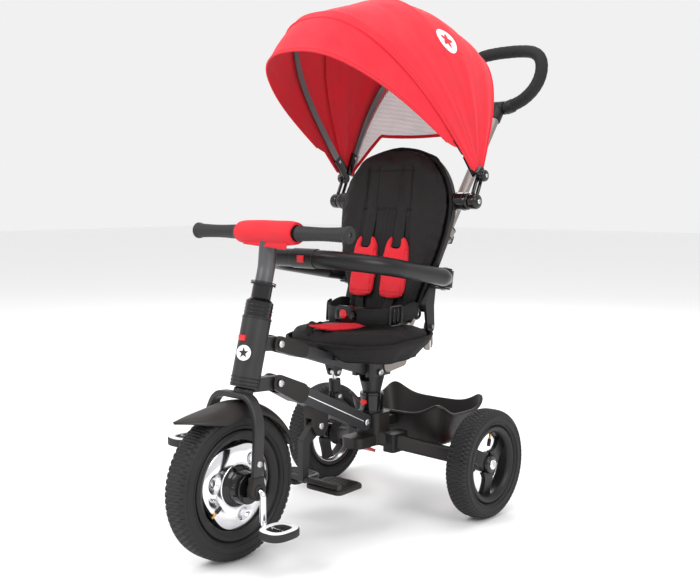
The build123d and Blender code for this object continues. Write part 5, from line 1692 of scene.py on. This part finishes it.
# ---- push handle --------------------------------------------------------------------------------
def handle():
    hinge = pivot("handle_tilt")
    lean = radians(13.0)
    up = Vector((0, sin(lean), cos(lean)))
    right = [(0, 128), (34, 127), (66, 122), (86, 108), (94, 86), (92, 60), (80, 36), (60, 17), (38, 6), (26, 1.5)]
    points = [hinge + Vector((x * MM, 0, 0)) + up * h * MM for x, h in
              [(-x, h) for x, h in reversed(right)] + right[1:]]
    path = catmull(points, 9)
    normal = Vector((0, cos(lean), -sin(lean)))

    def section(share):
        wrap = 1 + 0.012 * sin(240 * share)
        return oval(0.0139 * wrap, 0.0134 * wrap, 28)
    foam = sweep("handle_foam", path, section, normal, "foam_black", "handle", "foam_black")
    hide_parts("handle_loop")
    for share, name in ((3, "a"), (len(path) - 4, "b")):
        ahead = (path[share + 1] - path[share]).normalized()
        collar = rounded([(-7, 11), (-7, 15.2), (7, 15.2), (7, 11)], 2.0, 4)
        lathe("handle_collar_" + name, collar, path[share], ahead, "plastic_black", "handle", "black_plastic", 48)
    for side, label in ((1, "left"), (-1, "right")):
        cheek = rounded([(15.4, 0.01), (15.4, 14), (24, 15), (29, 12.5), (29, 0.01)], 2.0, 4)
        lathe("handle_cheek_" + label, [(side * a, r) for a, r in cheek], hinge, (1, 0, 0), "plastic_black",
              "handle", "black_plastic", 56)
        bolt("handle_bolt_" + label, hinge + Vector((side * 0.0288, 0, 0)), (side, 0, 0), 5.0, 1.8, "steel",
             "handle", "steel")
    axis = Vector(JOINTS["handle_height"]["axis"]).normalized()
    foot = at(0, -38, 272)
    for distance, radius, body, name in ((306, 17.6, "rear_frame", "low"), (328, 17.3, "rear_frame", "high")):
        ring = [(distance + 1.2 * cos(a), radius + 0.5 * sin(a)) for a in [2 * pi * k / 10 for k in range(10)]]
        lathe("rod_ring_" + name, ring, foot, axis, "plastic_black", body, "black_plastic", 60)
    lever = rounded([(-8, -20), (8, -20), (7, 12), (4, 20), (-4, 20), (-7, 12)], 4, 4)
    back = (Vector((0, 1, 0)) - axis * axis.y).normalized()
    middle_point = foot + axis * 0.316 + back * 0.0172
    first = Vector((1, 0, 0))
    vertices = []
    for lift, shrink in ((0.0, 0.9), (0.0015, 1.0), (0.005, 0.96), (0.0062, 0.8)):
        vertices += [middle_point + first * x * shrink * MM + axis * y * shrink * 0.55 * MM + back * lift
                     for x, y in lever]
    count = len(lever)
    faces = ring_faces(4, count) + [tuple(range(count)), tuple(range(3 * count, 4 * count))]
    piece = new_piece("rod_lock_tab", vertices, faces, "plastic_black", "rear_frame", "black_plastic")
    recalculate(piece)
    keep_edges(piece)


# ---- the rest of the CAD model ------------------------------------------------------------------
CAD_MATERIALS = {
    "crank": "chrome", "handlebar": "stem_grey", "stem_collar": "plastic_gloss",
    "head_casting": "paint_dark", "head_bushes": "brass", "head_button": "button_red",
    "post_button": "button_red", "ring_button": "button_red", "lower_tube": "paint_grey",
    "upper_tube": "paint_grey", "lower_fittings": "plastic_brown_black", "upper_fittings": "plastic_brown_black",
    "strut_rod": "steel", "strut_sleeve": "plastic_black", "footrest_arm": "paint_dark",
    "post_collar": "plastic_gloss", "seat_neck": "paint_dark", "seat_brackets": "champagne",
    "hub_casting": "plastic_brown_black", "rear_arms": "plastic_brown_black", "brake_housings": "plastic_black",
    "steel_pins": "steel", "basket_clips": "plastic_black", "push_rod_lower": "champagne",
    "push_rod_upper": "champagne", "handle_clamp": "plastic_black", "back_shell": "plastic_black",
    "guardrail_left": "rail_black", "guardrail_right": "rail_black",
}


def dress_cad():
    for node, material in CAD_MATERIALS.items():
        mesh = frame["nodes"][node].data
        mesh.materials.clear()
        mesh.materials.append(MATERIALS[material])


# ---- floor, lights and camera -------------------------------------------------------------------
def studio():
    scene = bpy.context.scene
    bpy.ops.mesh.primitive_plane_add(size=30)
    floor = bpy.context.object
    floor.name = "floor"
    material, shader = node_material("studio_floor", (0.93, 0.93, 0.93), 0.6)
    vector = object_coords(material)
    wire(material, ranged(material, noise_texture(material, vector, 1.2), 0.52, 0.66), shader.inputs["Roughness"])
    floor.data.materials.append(material)
    world = bpy.data.worlds.new("studio")
    world.use_nodes = True
    world.node_tree.nodes["Background"].inputs["Color"].default_value = (1, 1, 1, 1)
    world.node_tree.nodes["Background"].inputs["Strength"].default_value = 0.88
    scene.world = world
    centre = at(0, -150, 480)
    for name, offset, size, power in (("key", (-0.9, -2.6, 2.2), 1.8, 62), ("side", (2.8, -0.6, 1.5), 1.6, 40),
                                      ("top", (0.2, 0.3, 3.0), 2.2, 34), ("back", (-1.6, 2.4, 1.8), 1.6, 26)):
        lamp = bpy.data.lights.new(name, "AREA")
        lamp.energy = power
        lamp.shape = "DISK"
        lamp.size = size
        holder = bpy.data.objects.new(name, lamp)
        scene.collection.objects.link(holder)
        holder.location = centre + Vector(offset)
        holder.rotation_euler = (-Vector(offset)).to_track_quat("-Z", "Y").to_euler()
    camera = bpy.data.cameras.new("camera")
    camera.lens = 50.71
    camera.sensor_width = 36.0
    camera.dof.use_dof = False
    holder = bpy.data.objects.new("camera", camera)
    scene.collection.objects.link(holder)
    azimuth, pitch = radians(40.85), radians(5.45)
    back = Vector((sin(azimuth) * cos(pitch), -cos(azimuth) * cos(pitch), sin(pitch)))
    holder.location = at(1201.3, -1546.5, 602.5)
    holder.rotation_euler = (-back).to_track_quat("-Z", "Y").to_euler()
    scene.camera = holder
    scene.view_settings.view_transform = "Standard"


make_materials()
dress_cad()
front_wheel()
rear_wheel(1, "left")
rear_wheel(-1, "right")
pedals()
fork_and_fender()
grips()
bar_cover()
head_details()
frame_details()
footrest()
basket()
brake_pedals()
seat()
backrest()
harness()
canopy()
canopy_arms()
back_brackets()
handle()
studio()
